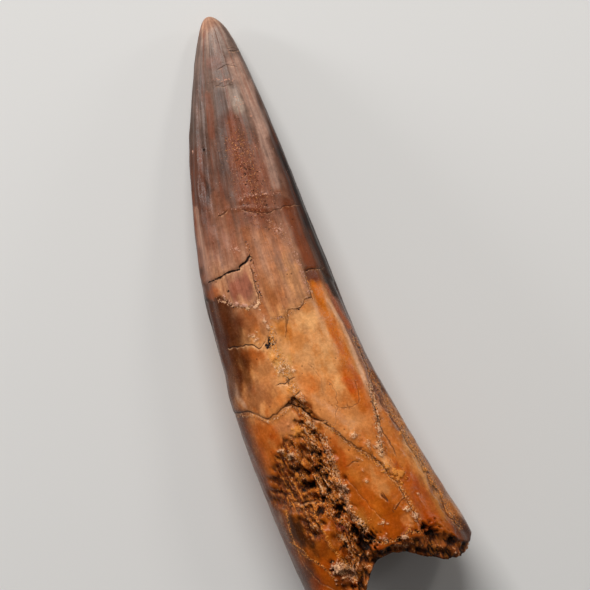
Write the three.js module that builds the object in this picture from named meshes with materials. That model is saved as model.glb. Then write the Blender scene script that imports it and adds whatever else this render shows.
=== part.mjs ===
// A fossil dinosaur tooth: one long, gently curved crown, broken off at the root, lying on its
// flatter side. Millimetres, +Z up, tip towards +Y, the curve's hollow edge towards +X.
// The origin is at the middle of the foot of the tooth's box, on the surface it lies on.
//
// The skin is one sheet of rings. Each ring is a slightly square oval. The rings run from the tip to
// the broken rim, over the rim's broken thickness, and on down the pulp cavity to its blunt end.
import * as THREE from "three";
import { mergeVertices } from "three/addons/utils/BufferGeometryUtils.js";

// Driving outline, as [distance from the tip, place] down the length.
const EDGE_HOLLOW = [
  [0, 0], [2.3, 2.2], [4.7, 2.9], [7, 3.3], [12, 4], [20, 4.85], [28.6, 5.5], [37.7, 5.9],
  [46.6, 6.4], [55.4, 7.1], [64.2, 8.1], [71.2, 9.5], [80.4, 11.6], [89.7, 13.8], [95, 15.2], [104, 16.4],
];
const EDGE_ROUND = [
  [0, 0], [2.9, -2.6], [8.4, -5.3], [14.5, -7.7], [21, -10], [26, -11.5], [34, -13.4], [44, -14.9],
  [56, -16], [68, -16.5], [84, -15.7], [92, -15], [104, -13.6],
];
const FOOT_HEIGHT = [
  [0, 2.3], [2.5, 1], [5, 0.5], [9, 0.12], [14, 0], [24, 0.15], [38, 0.5], [55, 0.6], [70, 0.4],
  [84, 0.1], [94, 0], [104, 0.1],
];
const THICKNESS = [
  [0, 0], [2.5, 3.9], [5, 5.5], [8.4, 7.2], [14.5, 9.5], [21, 11.4], [34, 14.6], [44, 16.5],
  [59, 18.7], [75, 21], [90, 23.3], [104, 24.2],
];
const WAIST_SHARE = 0.45; // height of the widest line, as a share of the thickness
const SQUARE_FACE = 0.035; // how square the oval is above the waist
const SQUARE_FOOT = 0.075; // and below it, where the tooth is flatter
const LENGTH = 103.8;

// The broken root, as [degrees round the section, distance from the tip]. 0 is the hollow edge, 90 the face.
const RIM = [
  [0, 97.6], [24, 98.5], [46, 95.8], [62, 94.8], [76, 94.2], [90, 94.6], [104, 94], [113, 97],
  [122, 101.2], [146, 102.4], [165, 101.4], [185, 99.6], [215, 97.2], [250, 95], [285, 95.4], [320, 96.8],
];
const LIP = [
  [0, 98.9], [24, 100.3], [44, 100], [60, 98.4], [76, 96.7], [90, 96.1], [100, 97], [110, 99.4],
  [120, 102.4], [134, 103.6], [152, 103.4], [180, 101.4], [215, 98.6], [250, 96.2], [285, 96.8], [320, 98.4],
];
const LIP_SIZE = 0.85; // the lip's section, as a share of the outer one
const CAVITY_MOUTH_SIZE = 0.68;
const CAVITY_SHOULDER = 1.1; // the cavity starts this far inside the lip
const CAVITY_DEPTH = 15;
const CAVITY_POINT = { across: -1.4, along: 83.8, height: 12.6 }; // the cavity's blunt end

// Hollow where the enamel and the bone under it are gone, as [distance, across, half width, depth].
const ERODED_BED = [
  [66.5, -6.2, 0.9, 0.3], [69, -5.2, 1.5, 1], [74, -5.6, 2.3, 1.6], [79, -6.2, 3, 1.9], [84, -6, 3.2, 2.1],
  [88, -5, 2.2, 2.1], [92, -4.6, 2.1, 2.3], [97, -4.8, 2.4, 2.6],
];
const FIBRE_BED = [
  [74.5, -9, 1, 0.2], [77, -9.6, 2.4, 0.9], [80, -10.4, 3.2, 1.2], [83, -10.2, 3.2, 1.1], [85.2, -9.4, 1.4, 0.3],
];
const SEAM_GROOVE = [
  [66, 7.4, 0.5, 0.1], [72, 7.2, 0.8, 0.35], [77, 7, 1.1, 0.5], [82, 7.4, 1.1, 0.55], [86, 7.4, 0.8, 0.4],
  [92, 8.4, 0.8, 0.4], [97, 9.6, 1.4, 0.9],
];
const KEEL_GROOVE = [
  [60, 7.2, 0.5, 0.1], [68, 7.9, 0.6, 0.25], [76, 9.6, 0.8, 0.35], [84, 11.6, 0.9, 0.4], [92, 13.1, 0.9, 0.45],
  [98, 14.6, 1, 0.5],
];
const BEDS = [ERODED_BED, FIBRE_BED, SEAM_GROOVE, KEEL_GROOVE];
const BED_START = [-1.2, 0.6]; // a bed's depth grows over this stretch of its first point
const BED_END = [3, 6]; // and dies out over this stretch past its last
const BED_WALL = [0.65, 1.25]; // its wall, in half widths from its middle line
const BED_FRAY = 0.25; // how uneven its width is
const BED_FLOOR = 0.3; // how uneven its depth is

// Plates of the face that stand proud of what lies below their broken edge: [across, distance] along the edge.
const LEDGES = [
  { edge: [[-16.5, 65.8], [-13.5, 66.4], [-11.1, 68.4], [-8.9, 67.7], [-5.6, 66.1]], step: 0.35, run: 7 },
  { edge: [[-5.6, 66.6], [-2.4, 71.8], [1.3, 77.4], [4.6, 81.6], [6.6, 87]], step: 0.4, run: 6 },
  { edge: [[-14.5, 43.6], [-10.6, 43.1], [-7.4, 42.4], [-5.8, 41.8]], step: 0.25, run: 7 },
];
const BASE_PITS = [
  { across: 9.2, along: 95.4, radius: 1.7, depth: 1.5 },
  { across: -2.6, along: 93.6, radius: 1.8, depth: 1.2 },
];
const SWELL = 0.22; // slow unevenness of the whole skin
const RIM_FRAY = 0.7; // unevenness of the broken rim, down the length
const LIP_FRAY = 0.35; // and of the lip inside it
const BREAK_ROUGH = 0.6; // lumps on the broken thickness between them
const WALL_ROUGH = 0.035; // unevenness of the cavity's wall, as a share of its size
const FOOT_TROUGH = { depth: 0.75, halfWidth: 4.6, from: 60, full: 92 }; // shallow trough under the root
const FLUTES = { count: 17, height: 0.1, from: 8, full: 20, fade: 45, to: 70 }; // low ribs down the crown

const COLUMNS = 84;
const TIP_RINGS = 8; // close rings over the blunt tip
const TIP_REACH = 0.055; // the share of the length that they cover
const CROWN_RINGS = 37;
const BREAK_RINGS = 2; // rings between the rim and the lip
const CAVITY_RINGS = 7;
const FACE_BIAS = 0.3; // columns crowd towards the face
const ROOT_BIAS = 0.85; // rings crowd towards the root
const TINY = 1e-6;

// A value through [place, value] pairs, smooth between them. Read against the square root of the
// place, a width that starts at nought gives a round tip.
function through(pairs, read = Math.sqrt) {
  const at = pairs.map((pair) => read(pair[0]));
  const value = pairs.map((pair) => pair[1]);
  const slope = value.map((unused, i) => {
    const before = Math.max(i - 1, 0);
    const after = Math.min(i + 1, value.length - 1);
    return (value[after] - value[before]) / (at[after] - at[before]);
  });
  return (place) => {
    const p = Math.min(Math.max(read(place), at[0]), at[at.length - 1]);
    let i = 0;
    while (i < at.length - 2 && p > at[i + 1]) i += 1;
    const span = at[i + 1] - at[i];
    const t = (p - at[i]) / span;
    const keep = (1 + 2 * t) * (1 - t) ** 2;
    const take = t * t * (3 - 2 * t);
    const leave = t * (1 - t) ** 2 * span;
    const arrive = t * t * (t - 1) * span;
    return keep * value[i] + take * value[i + 1] + leave * slope[i] + arrive * slope[i + 1];
  };
}

const same = (place) => place;
const smooth = (from, to, value) => THREE.MathUtils.smoothstep(value, from, to);

// The same round the section: the pairs are repeated a turn before and a turn after.
function round(pairs) {
  const turn = (by) => pairs.map(([degrees, value]) => [degrees + by, value]);
  return through([...turn(-360), ...turn(0), ...turn(360)], same);
}

// A slow irregular value from about -1 to 1.
function uneven(a, b, c) {
  const first = Math.sin(0.9 * a + 0.4 * b - 0.5 * c + 0.6);
  const second = Math.sin(-0.7 * a + 1.1 * b + 0.8 * c + 2.1);
  const third = Math.sin(1.7 * a - 0.6 * b + 1.3 * c + 4.4);
  return (first + second + 0.6 * third) / 2.6;
}

// An irregular value round the section, with a coarse and a fine part.
function fray(angle, row) {
  const [c, s] = [Math.cos(angle), Math.sin(angle)];
  return (uneven(5 * c, 5 * s, row) + 0.6 * uneven(15 * c, 15 * s, row + 4)) / 1.6;
}

const hollowEdge = through(EDGE_HOLLOW);
const roundEdge = through(EDGE_ROUND);
const footHeight = through(FOOT_HEIGHT);
const thickness = through(THICKNESS);
const rimAt = round(RIM);
const lipAt = round(LIP);

// How far a bed lowers the face at a point.
function bedDepth(bed) {
  const middle = through(bed.map(([along, across]) => [along, across]), same);
  const half = through(bed.map(([along, , halfWidth]) => [along, halfWidth]), same);
  const deep = through(bed.map(([along, , , depth]) => [along, depth]), same);
  const first = bed[0][0];
  const last = bed[bed.length - 1][0];
  return (across, along) => {
    const started = smooth(first + BED_START[0], first + BED_START[1], along);
    const ended = smooth(last + BED_END[0], last + BED_END[1], along);
    const frayed = half(along) * (1 + BED_FRAY * uneven(2.1 * across, 2.6 * along, 0));
    const floor = deep(along) * (1 + BED_FLOOR * uneven(2.6 * across, 1.3 * along, 5));
    const off = Math.abs(across - middle(along)) / frayed;
    return floor * started * (1 - ended) * (1 - smooth(...BED_WALL, off));
  };
}

const beds = BEDS.map(bedDepth);

// How far a plate stands up above its broken edge, dying out up the crown.
function ledgeHeight({ edge, step, run }) {
  const border = through(edge, same);
  const [left, right] = [edge[0][0], edge[edge.length - 1][0]];
  return (across, along) => {
    const within = smooth(left - 1, left + 0.5, across) * (1 - smooth(right - 0.5, right + 1, across));
    const above = border(across) - along;
    return step * within * smooth(-0.5, 0.5, above) * (1 - smooth(run * 0.3, run, above));
  };
}

const ledges = LEDGES.map(ledgeHeight);

// How far a round pit lowers the face.
function pitDepth({ across, along, radius, depth }) {
  return (x, d) => depth * (1 - smooth(0.4, 1.1, Math.hypot(x - across, d - along) / radius));
}

const pits = BASE_PITS.map(pitDepth);

// The oval section at a distance from the tip, as what its points are worked out from.
function sectionAt(along) {
  const [right, left] = [hollowEdge(along), roundEdge(along)];
  const [foot, thick] = [footHeight(along), thickness(along)];
  const waist = foot + WAIST_SHARE * thick;
  return {
    middle: (right + left) / 2,
    half: (right - left) / 2,
    waist,
    rise: foot + thick - waist,
    drop: waist - foot,
  };
}

// A point of the plain oval, and the way out of it.
function ovalPoint(section, angle, size) {
  const [c, s] = [Math.cos(angle), Math.sin(angle)];
  const corner = Math.sin(2 * angle) ** 2;
  const square = 1 + corner * (s > 0 ? SQUARE_FACE : SQUARE_FOOT);
  const height = s > 0 ? section.rise : section.drop;
  const point = new THREE.Vector2(
    section.middle + size * square * section.half * c,
    section.waist + size * square * height * s,
  );
  const out = new THREE.Vector2(c * (height + TINY), s * (section.half + TINY)).normalize();
  return { point, out };
}

// Height of the skin's relief, outwards.
function relief(across, along, angle, section) {
  const face = smooth(-0.1, 0.25, Math.sin(angle));
  const blunt = smooth(0, 10, along);
  let height = SWELL * blunt * uneven(0.42 * across, 0.17 * along, 3 * Math.sin(angle));
  const ribbed = smooth(FLUTES.from, FLUTES.full, along) * (1 - smooth(FLUTES.fade, FLUTES.to, along));
  height += FLUTES.height * ribbed * Math.cos(FLUTES.count * angle + 0.03 * along);
  for (const bed of beds) height -= face * bed(across, along);
  for (const ledge of ledges) height += face * ledge(across, along);
  for (const pit of pits) height -= face * pit(across, along);
  const trough = FOOT_TROUGH.depth * smooth(FOOT_TROUGH.from, FOOT_TROUGH.full, along);
  const under = smooth(0.2, 0.8, -Math.sin(angle));
  height -= under * trough * Math.exp(-(((across - section.middle) / FOOT_TROUGH.halfWidth) ** 2));
  return height;
}

// A point of the outer skin: share 0 is the tip and 1 the broken rim.
function skinPoint(angle, share) {
  const rim = rimAt(THREE.MathUtils.radToDeg(angle)) + RIM_FRAY * fray(angle, 1);
  const along = share * rim;
  const section = sectionAt(along);
  const { point, out } = ovalPoint(section, angle, 1);
  point.addScaledVector(out, relief(point.x, along, angle, section));
  return new THREE.Vector3(point.x, -along, point.y);
}

// The lip's distance from the tip.
function lipDistance(angle) {
  return Math.min(lipAt(THREE.MathUtils.radToDeg(angle)) + LIP_FRAY * fray(angle, 6), LENGTH);
}

// A point of the lip, the inner edge of the broken thickness.
function lipPoint(angle) {
  const lip = lipDistance(angle);
  const { point } = ovalPoint(sectionAt(lip), angle, LIP_SIZE);
  return new THREE.Vector3(point.x, -lip, point.y);
}

// A point on the broken thickness, lumpy between the rim at 0 and the lip at 1.
function breakPoint(angle, share) {
  const lumps = BREAK_ROUGH * Math.sin(Math.PI * share);
  const outwards = lumps * fray(angle, 9 * share);
  const onwards = lumps * fray(angle, 3 + 7 * share);
  const push = new THREE.Vector3(outwards * Math.cos(angle), -onwards, outwards * Math.sin(angle));
  return skinPoint(angle, 1).lerp(lipPoint(angle), share).add(push);
}

// A point of the cavity's wall: depth 0 is its mouth and 1 its blunt end.
function cavityPoint(angle, depth) {
  const lip = lipDistance(angle);
  const section = sectionAt(lip);
  const size = CAVITY_MOUTH_SIZE * (1 + WALL_ROUGH * fray(angle, 5 * depth));
  const { point } = ovalPoint(section, angle, size * Math.sqrt(1 - depth ** 2.2));
  const slide = depth ** 1.5;
  const along = lip - CAVITY_SHOULDER - CAVITY_DEPTH * depth;
  const across = point.x + slide * (CAVITY_POINT.across - section.middle);
  const height = point.y + slide * (CAVITY_POINT.height - section.waist);
  return new THREE.Vector3(across, -THREE.MathUtils.lerp(along, CAVITY_POINT.along, slide), height);
}

// Rings close together at the tip, then down the crown.
function shareOf(ring) {
  if (ring <= TIP_RINGS) return TIP_REACH * (ring / TIP_RINGS) ** 2;
  return TIP_REACH + (1 - TIP_REACH) * ((ring - TIP_RINGS) / CROWN_RINGS) ** ROOT_BIAS;
}

// The point of one ring at an angle, counting the rings from the tip to the cavity's end.
function ringPoint(ring, angle) {
  const rimRing = TIP_RINGS + CROWN_RINGS;
  const lipRing = rimRing + BREAK_RINGS + 1;
  if (ring <= rimRing) return skinPoint(angle, shareOf(ring));
  if (ring < lipRing) return breakPoint(angle, (ring - rimRing) / (BREAK_RINGS + 1));
  if (ring === lipRing) return lipPoint(angle);
  return cavityPoint(angle, (ring - lipRing - 1) / (CAVITY_RINGS - 1));
}

// The sheet: one row of vertices for each ring, rolled round into a closed skin.
function toothGeometry() {
  const lastRing = TIP_RINGS + CROWN_RINGS + BREAK_RINGS + 1 + CAVITY_RINGS;
  const sheet = new THREE.PlaneGeometry(1, 1, COLUMNS, lastRing);
  const place = sheet.getAttribute("position");
  for (let i = 0; i < place.count; i += 1) {
    const column = i % (COLUMNS + 1) % COLUMNS;
    const phase = 2 * Math.PI * (column / COLUMNS - 0.25);
    const angle = Math.PI / 2 - phase + FACE_BIAS * Math.sin(phase);
    const point = ringPoint(Math.floor(i / (COLUMNS + 1)), angle);
    place.setXYZ(i, point.x, point.y, point.z);
  }
  sheet.deleteAttribute("normal");
  sheet.deleteAttribute("uv");
  return mergeVertices(dropSlivers(sheet), 1e-4);
}

// The sheet without the triangles that close up to nothing at its two poles.
function dropSlivers(sheet) {
  const place = sheet.getAttribute("position");
  const corners = [new THREE.Vector3(), new THREE.Vector3(), new THREE.Vector3()];
  const kept = [];
  for (let i = 0; i < sheet.index.count; i += 3) {
    const triangle = [0, 1, 2].map((k) => sheet.index.getX(i + k));
    triangle.forEach((vertex, k) => corners[k].fromBufferAttribute(place, vertex));
    const [a, b, c] = corners;
    const shortest = Math.min(a.distanceTo(b), b.distanceTo(c), c.distanceTo(a));
    if (shortest > TINY) kept.push(...triangle);
  }
  sheet.setIndex(kept);
  return sheet;
}

const geometry = toothGeometry();
geometry.computeBoundingBox();
const box = geometry.boundingBox;
geometry.translate(-(box.min.x + box.max.x) / 2, -(box.min.y + box.max.y) / 2, -box.min.z);
geometry.computeVertexNormals();

const fossil = new THREE.MeshStandardMaterial({ color: 0xa4602c, roughness: 0.38, metalness: 0 });
const tooth = new THREE.Mesh(geometry, fossil);
tooth.name = "tooth";

const part = new THREE.Group();
part.add(tooth);

export default part;
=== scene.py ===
"""The finish of a fossil dinosaur tooth: cracked enamel over orange dentine, worn through to dark
bone fibres beside the root, and a broken root that opens into the pulp cavity.

Shapes are worked out in millimetres on the tooth's own two measures: across, from the tip's line
towards the hollow edge, and along, the distance from the tip. They are put in place in metres."""
import math

import bmesh
import bpy
import numpy as np
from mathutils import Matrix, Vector


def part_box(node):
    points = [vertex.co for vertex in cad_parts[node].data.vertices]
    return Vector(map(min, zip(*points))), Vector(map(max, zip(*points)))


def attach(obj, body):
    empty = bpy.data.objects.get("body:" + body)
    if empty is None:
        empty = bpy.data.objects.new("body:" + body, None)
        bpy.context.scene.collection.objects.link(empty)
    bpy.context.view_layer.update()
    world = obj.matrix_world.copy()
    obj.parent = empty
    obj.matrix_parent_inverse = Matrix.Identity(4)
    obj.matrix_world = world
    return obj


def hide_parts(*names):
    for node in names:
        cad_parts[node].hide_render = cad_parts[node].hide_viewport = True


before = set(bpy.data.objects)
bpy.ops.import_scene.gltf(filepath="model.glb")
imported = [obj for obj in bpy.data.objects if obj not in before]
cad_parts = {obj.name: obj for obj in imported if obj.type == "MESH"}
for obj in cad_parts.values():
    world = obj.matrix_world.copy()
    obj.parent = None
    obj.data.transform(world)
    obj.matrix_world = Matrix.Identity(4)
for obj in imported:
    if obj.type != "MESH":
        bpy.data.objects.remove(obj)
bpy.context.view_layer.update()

MM = 0.001

# The outline, as (along, place) pairs, the same as the solid's.
EDGE_HOLLOW = [
    (0, 0), (2.3, 2.2), (4.7, 2.9), (7, 3.3), (12, 4), (20, 4.85), (28.6, 5.5), (37.7, 5.9), (46.6, 6.4),
    (55.4, 7.1), (64.2, 8.1), (71.2, 9.5), (80.4, 11.6), (89.7, 13.8), (95, 15.2), (104, 16.4),
]
EDGE_ROUND = [
    (0, 0), (2.9, -2.6), (8.4, -5.3), (14.5, -7.7), (21, -10), (26, -11.5), (34, -13.4), (44, -14.9),
    (56, -16), (68, -16.5), (84, -15.7), (92, -15), (104, -13.6),
]
FOOT_HEIGHT = [
    (0, 2.3), (2.5, 1), (5, 0.5), (9, 0.12), (14, 0), (24, 0.15), (38, 0.5), (55, 0.6), (70, 0.4),
    (84, 0.1), (94, 0), (104, 0.1),
]
THICKNESS = [
    (0, 0), (2.5, 3.9), (5, 5.5), (8.4, 7.2), (14.5, 9.5), (21, 11.4), (34, 14.6), (44, 16.5),
    (59, 18.7), (75, 21), (90, 23.3), (104, 24.2),
]
WAIST_SHARE = 0.45
SQUARE_FACE = 0.035
SQUARE_FOOT = 0.075
LENGTH = 103.8
CRACK_WIDTH = 0.58  # the share of its stated half width that a crack opens to

# The broken root, as (degrees round the section, along). 0 is the hollow edge and 90 the face.
RIM = [
    (0, 97.6), (24, 98.5), (46, 95.8), (62, 94.8), (76, 94.2), (90, 94.6), (104, 94), (113, 97),
    (122, 101.2), (146, 102.4), (165, 101.4), (185, 99.6), (215, 97.2), (250, 95), (285, 95.4),
    (320, 96.8),
]
LIP = [
    (0, 98.9), (24, 100.3), (44, 100), (60, 98.4), (76, 96.7), (90, 96.1), (100, 97), (110, 99.4),
    (120, 102.4), (134, 103.6), (152, 103.4), (180, 101.4), (215, 98.6), (250, 96.2), (285, 96.8),
    (320, 98.4),
]
LIP_SIZE = 0.85
RIM_FRAY = 0.7
LIP_FRAY = 0.35
BROKEN_LUMPS = 0.6
CAVITY_MOUTH_SIZE = 0.68
CAVITY_SHOULDER = 1.1
CAVITY_DEPTH = 15
CAVITY_POINT = (-1.4, 83.8, 12.6)  # across, along, height

# Worn hollows of the face, as (along, across, half width, depth).
ERODED_BED = [
    (66.5, -6.2, 0.9, 0.3), (69, -5.2, 1.5, 0.7), (74, -5.4, 2.2, 1.2), (79, -5.8, 2.8, 1.8),
    (84, -6, 3.2, 2.1), (88, -5, 2.2, 2.1), (92, -4.6, 2.1, 2.3), (97, -4.8, 2.4, 2.6),
]
FIBRE_BED = [
    (72.5, -9, 1, 0.2), (76, -9.8, 3, 0.7), (80, -10.8, 3.8, 1), (83, -10.6, 3.8, 1),
    (85.6, -9.6, 1.6, 0.3),
]
SEAM_GROOVE = [
    (66, 7.4, 0.5, 0.1), (72, 7.2, 0.8, 0.3), (77, 7, 1.1, 0.35), (82, 7.4, 1.2, 0.18),
    (86, 7.4, 1.2, 0.12), (92, 8.4, 1.1, 0.18), (97, 9.6, 1.4, 0.7),
]
KEEL_GROOVE = [
    (60, 7.2, 0.5, 0.1), (68, 7.9, 0.6, 0.25), (76, 9.6, 0.8, 0.35), (84, 11.6, 0.9, 0.4),
    (92, 13.1, 0.9, 0.45), (98, 14.6, 1, 0.5),
]
LEDGES = [  # edge as (across, along), step, run
    ([(-16.5, 65.8), (-13.5, 66.4), (-11.1, 68.4), (-8.9, 67.7), (-5.6, 66.1)], 0.35, 7),
    ([(-5.6, 66.6), (-2.4, 71.8), (1.3, 77.4), (4.6, 81.6), (6.6, 87)], 0.4, 6),
    ([(-14.5, 43.6), (-10.6, 43.1), (-7.4, 42.4), (-5.8, 41.8)], 0.25, 7),
]
BASE_PITS = [(9.2, 95.4, 1.7, 1.5), (-2.6, 93.6, 1.8, 1.2)]  # across, along, radius, depth
SWELL = 0.22
FLUTE_COUNT = 17
FLUTE_HEIGHT = 0.1
ENAMEL_STEP = 0.14  # how far the enamel stands above the dentine

# The enamel's broken lower edge, as (across, along).
ENAMEL_EDGE = [
    (-17, 46.5), (-14, 46.6), (-12.6, 46.2), (-11.6, 47.2), (-11, 48.3), (-9.7, 49.1), (-8.5, 49.5),
    (-7, 49), (-6.3, 48.6), (-5.4, 52.5), (-4.4, 53.4), (-3.4, 52.9), (-2.4, 52.1), (-0.7, 52.3),
    (0.3, 51.9), (0.75, 51.2), (1.9, 51.1), (2.15, 49.6), (2.3, 46.6), (4, 46.7), (5.3, 47), (6.2, 49),
    (7.6, 52),
]

# Cracks, as (route of (across, along), half width, depth, darkness).
FACE_CRACKS = [
    ([(-16.3, 65.7), (-13.5, 66.4), (-12.4, 67.3), (-11.1, 68.4), (-8.9, 67.7), (-7.9, 67.3),
     (-6.8, 66.6), (-5.6, 66.1), (-4.9, 65.7)], 0.17, 0.12, 0.6),
    ([(-7.4, 67.3), (-6.6, 66.9), (-5.8, 66.4)], 0.24, 0.25, 0.8),
    ([(-7.1, 67), (-5.5, 68.1), (-4.7, 69.4), (-3.7, 70.8), (-2.3, 71.5)], 0.24, 0.25, 0.8),
    ([(-2.2, 72.2), (-1, 73.7), (0, 75.3), (1.3, 77.3), (3.1, 79.1), (4.3, 80.9), (5.1, 83.3),
     (6.3, 85.7), (6.5, 87.9), (7, 90.1), (7.4, 92.7), (8.1, 93.6)], 0.15, 0.1, 0.55),
    ([(6.4, 88), (5.4, 88.5), (4.4, 89.3)], 0.18, 0.1, 0.65),
    ([(6.8, 70.6), (6.5, 73.4), (6.8, 74.8), (6.8, 76.9), (7.3, 78.3), (7.6, 80.6)], 0.18, 0.12, 0.55),
    ([(6.9, 58.6), (7.5, 65.5), (8, 73.2), (9.5, 76.4), (10, 79.2), (10.9, 81.3), (11.7, 83.9),
     (12, 86.8), (12.7, 89), (13, 92.5), (14.3, 95.8)], 0.16, 0.08, 0.5),
    ([(7.9, 66), (8.9, 70.4), (10.4, 75.6), (11.9, 80.8), (13.1, 85.6), (14.1, 91)], 0.12, 0.05, 0.3),
    ([(0.4, 69.7), (1.6, 70.6), (2.9, 70.8), (4.1, 70.5), (4.5, 69.9), (4.8, 68.6), (4.7, 66.9)], 0.12,
     0.04, 0.38),
    ([(-13.2, 43.4), (-12.1, 43.3), (-10.6, 43), (-9.3, 42.9), (-8.1, 43)], 0.22, 0.16, 0.95),
    ([(-7.9, 42.6), (-7.3, 42.3), (-6.3, 41.9), (-5.9, 41.5)], 0.26, 0.16, 1),
    ([(-6.1, 43.4), (-6.2, 45), (-6.3, 46.8), (-6.4, 48.5)], 0.18, 0.08, 0.6),
    ([(-13.8, 55.1), (-12, 55.3), (-10.5, 55.6), (-9.6, 56), (-9.1, 56.7), (-8.3, 56.3), (-7.8, 55.9)],
     0.16, 0.08, 0.8),
    ([(-7.7, 63.4), (-6.6, 63.7), (-5.1, 63.1)], 0.18, 0.1, 0.75),
    ([(1.9, 51.2), (0.7, 51.2), (0.3, 51.9), (-0.7, 52.3), (-2.4, 52)], 0.18, 0.1, 0.65),
    ([(-2.4, 52), (-2.9, 53.6), (-3.6, 55), (-4, 55.9)], 0.14, 0.05, 0.45),
    ([(2.2, 46.8), (2.2, 48.3), (2.1, 49.7), (2.1, 51.4)], 0.12, 0.05, 0.3),
    ([(2.2, 46.5), (4, 46.7), (5.3, 47)], 0.14, 0.06, 0.65),
    ([(1.9, 6.9), (3.2, 7.1)], 0.14, 0.1, 0.7),
    ([(-4.4, 33.4), (-2.9, 34.4), (-0.6, 35.4), (2.9, 35.1), (4.6, 35.5)], 0.13, 0.05, 0.45),
    ([(-8.4, 33.3), (-7.2, 32.9)], 0.18, 0.06, 0.6),
    ([(-11.6, 83.1), (-10.5, 83.6), (-8.6, 83.7), (-7.6, 84.4)], 0.24, 0.15, 0.7),
    ([(-1.6, 82.1), (0.4, 86.9), (1.5, 89.3), (2.2, 90.7)], 0.12, 0.04, 0.35),
    ([(-0.8, 79.9), (0.1, 79.5), (1, 79.8)], 0.16, 0.06, 0.65),
    ([(2.9, 86.3), (3.5, 87.2)], 0.18, 0.06, 0.7),
    ([(-14.4, 88.9), (-13.2, 91), (-12.6, 94.4), (-11, 97.6), (-9.4, 99)], 0.12, 0.06, 0.5),
    ([(0.5, 65.7), (1.1, 67.4), (0.6, 69.8), (-0.8, 72.6)], 0.1, 0.03, 0.3),
    ([(-1.8, 62), (-0.6, 64.4), (-0.9, 67.2)], 0.1, 0.03, 0.2),
    ([(-0.9, 9.3), (0.5, 9), (1.9, 9.7)], 0.11, 0.04, 0.45),
    ([(-2.2, 12), (-1, 12.5), (0.2, 12.6)], 0.1, 0.04, 0.35),
]
# Light raised lines, as (route, half width, height, lightness). Most are left by healed cracks; the lines
# just below the cracks at 66 and 84 along are those cracks' lower lips, whose lightness is a painted
# highlight.
FACE_RIDGES = [
    ([(-4.5, 32.1), (-3.5, 31.6), (-1.8, 32), (-0.3, 31.9), (1, 32.7), (2.4, 32.8)], 0.16, 0.1, 0.5),
    ([(-8.4, 33), (-6.5, 32.6), (-4.5, 33.2), (-3.1, 33.7), (-1.7, 34.3), (0.3, 34.8), (1.6, 35.2)], 0.15,
     0.09, 0.42),
    ([(-2.5, 10.6), (-0.7, 11.4), (1.1, 12)], 0.14, 0.06, 0.58),
    # Crack A's lower lip: its lightness is a painted highlight.
    ([(-16, 66.3), (-13.4, 67.1), (-12.3, 68), (-11, 69.1), (-8.8, 68.4), (-7.4, 67.9)], 0.17, 0.1, 0.5),
    ([(-9.1, 85.7), (-8.6, 87.5), (-7.9, 89.8), (-7.8, 91.7), (-7.4, 93.2), (-6.6, 96.2)], 0.26, 0.3,
     0.6),
    ([(-14.3, 89.2), (-12.4, 91.1), (-11.6, 92.9), (-10.5, 94), (-9.6, 95.2)], 0.12, 0.1, 0.6),
    # The lower lip of the crack at 84 along: its lightness is a painted highlight.
    ([(-11.6, 83.8), (-10.5, 84.2), (-8.6, 84.3), (-7.6, 85)], 0.18, 0.18, 0.6),
    ([(-1.6, 73.1), (-0.4, 74.6), (0.7, 76.4), (2.2, 78.9), (3.6, 80.8)], 0.15, 0.1, 0.5),
    ([(2.3, 46.9), (2.45, 49), (2.35, 51)], 0.12, 0.06, 0.5),
]
BACK_CRACKS = [
    ([(-14.8, 58), (-11, 59.4), (-8.2, 58.2), (-5.6, 60.3), (-2.2, 60.9), (0.6, 63.4)], 0.2, 0.3, 0.85),
    ([(0.6, 63.4), (2.4, 67), (2.2, 72.5), (3.6, 78.6), (3, 85), (4.4, 91.5), (4, 95)], 0.18, 0.28, 0.85),
    ([(-5.6, 60.3), (-6.4, 66.8), (-8.3, 73.4), (-8.1, 80.2), (-9.4, 88)], 0.15, 0.24, 0.75),
    ([(-8.2, 77.2), (-4.4, 76.2), (-0.8, 78.4), (3.2, 77.6)], 0.13, 0.18, 0.7),
    ([(-12.8, 38.6), (-9.6, 40), (-6.8, 39.2), (-3, 41.2), (0.8, 40.4), (4.2, 42)], 0.15, 0.2, 0.8),
    ([(-3, 41.2), (-3.8, 47.6), (-3.2, 53.4), (-4.6, 58.4)], 0.12, 0.14, 0.6),
    ([(-6.4, 21.8), (-3.8, 22.6), (-1.2, 21.9), (1.8, 23)], 0.12, 0.12, 0.6),
    ([(8.2, 70), (9.4, 77), (11.2, 84), (12.4, 92)], 0.14, 0.16, 0.7),
]

# Dark pits, as (across, along, radius, depth).
PITS = [
    (-6.2, 78.9, 0.85, 0.9), (-8.9, 81, 0.85, 0.9), (-9.8, 81.6, 0.6, 0.6), (-9.8, 78.1, 0.5, 0.5),
    (-5.2, 80.5, 0.6, 0.6), (-4.9, 86.3, 1.1, 1), (-5.7, 87.4, 0.65, 0.7), (-8.3, 85.8, 0.85, 0.8),
    (-5.6, 83, 0.6, 0.6), (-5, 76.7, 0.5, 0.5), (-6.3, 76, 0.5, 0.5), (-3.9, 76.5, 0.45, 0.4),
    (-3.6, 90.6, 1, 0.9), (-2.5, 91.8, 1.2, 1), (-1, 92.6, 1.1, 0.9), (-6, 92.5, 0.6, 0.5),
    (8.4, 93.6, 0.75, 0.7), (3.5, 94.4, 0.5, 0.4), (-8.5, 94.4, 0.5, 0.4), (-8.8, 95.7, 0.45, 0.4),
    (-4.8, 72.9, 0.5, 0.45), (-6.7, 56.2, 0.9, 0.14), (-7.5, 56.8, 0.6, 0.12), (-7.8, 21.8, 0.26, 0.24),
    (-10.9, 45.9, 0.3, 0.2), (-3.2, 88.6, 0.6, 0.6), (-7.4, 83.9, 0.45, 0.4),
]
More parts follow.
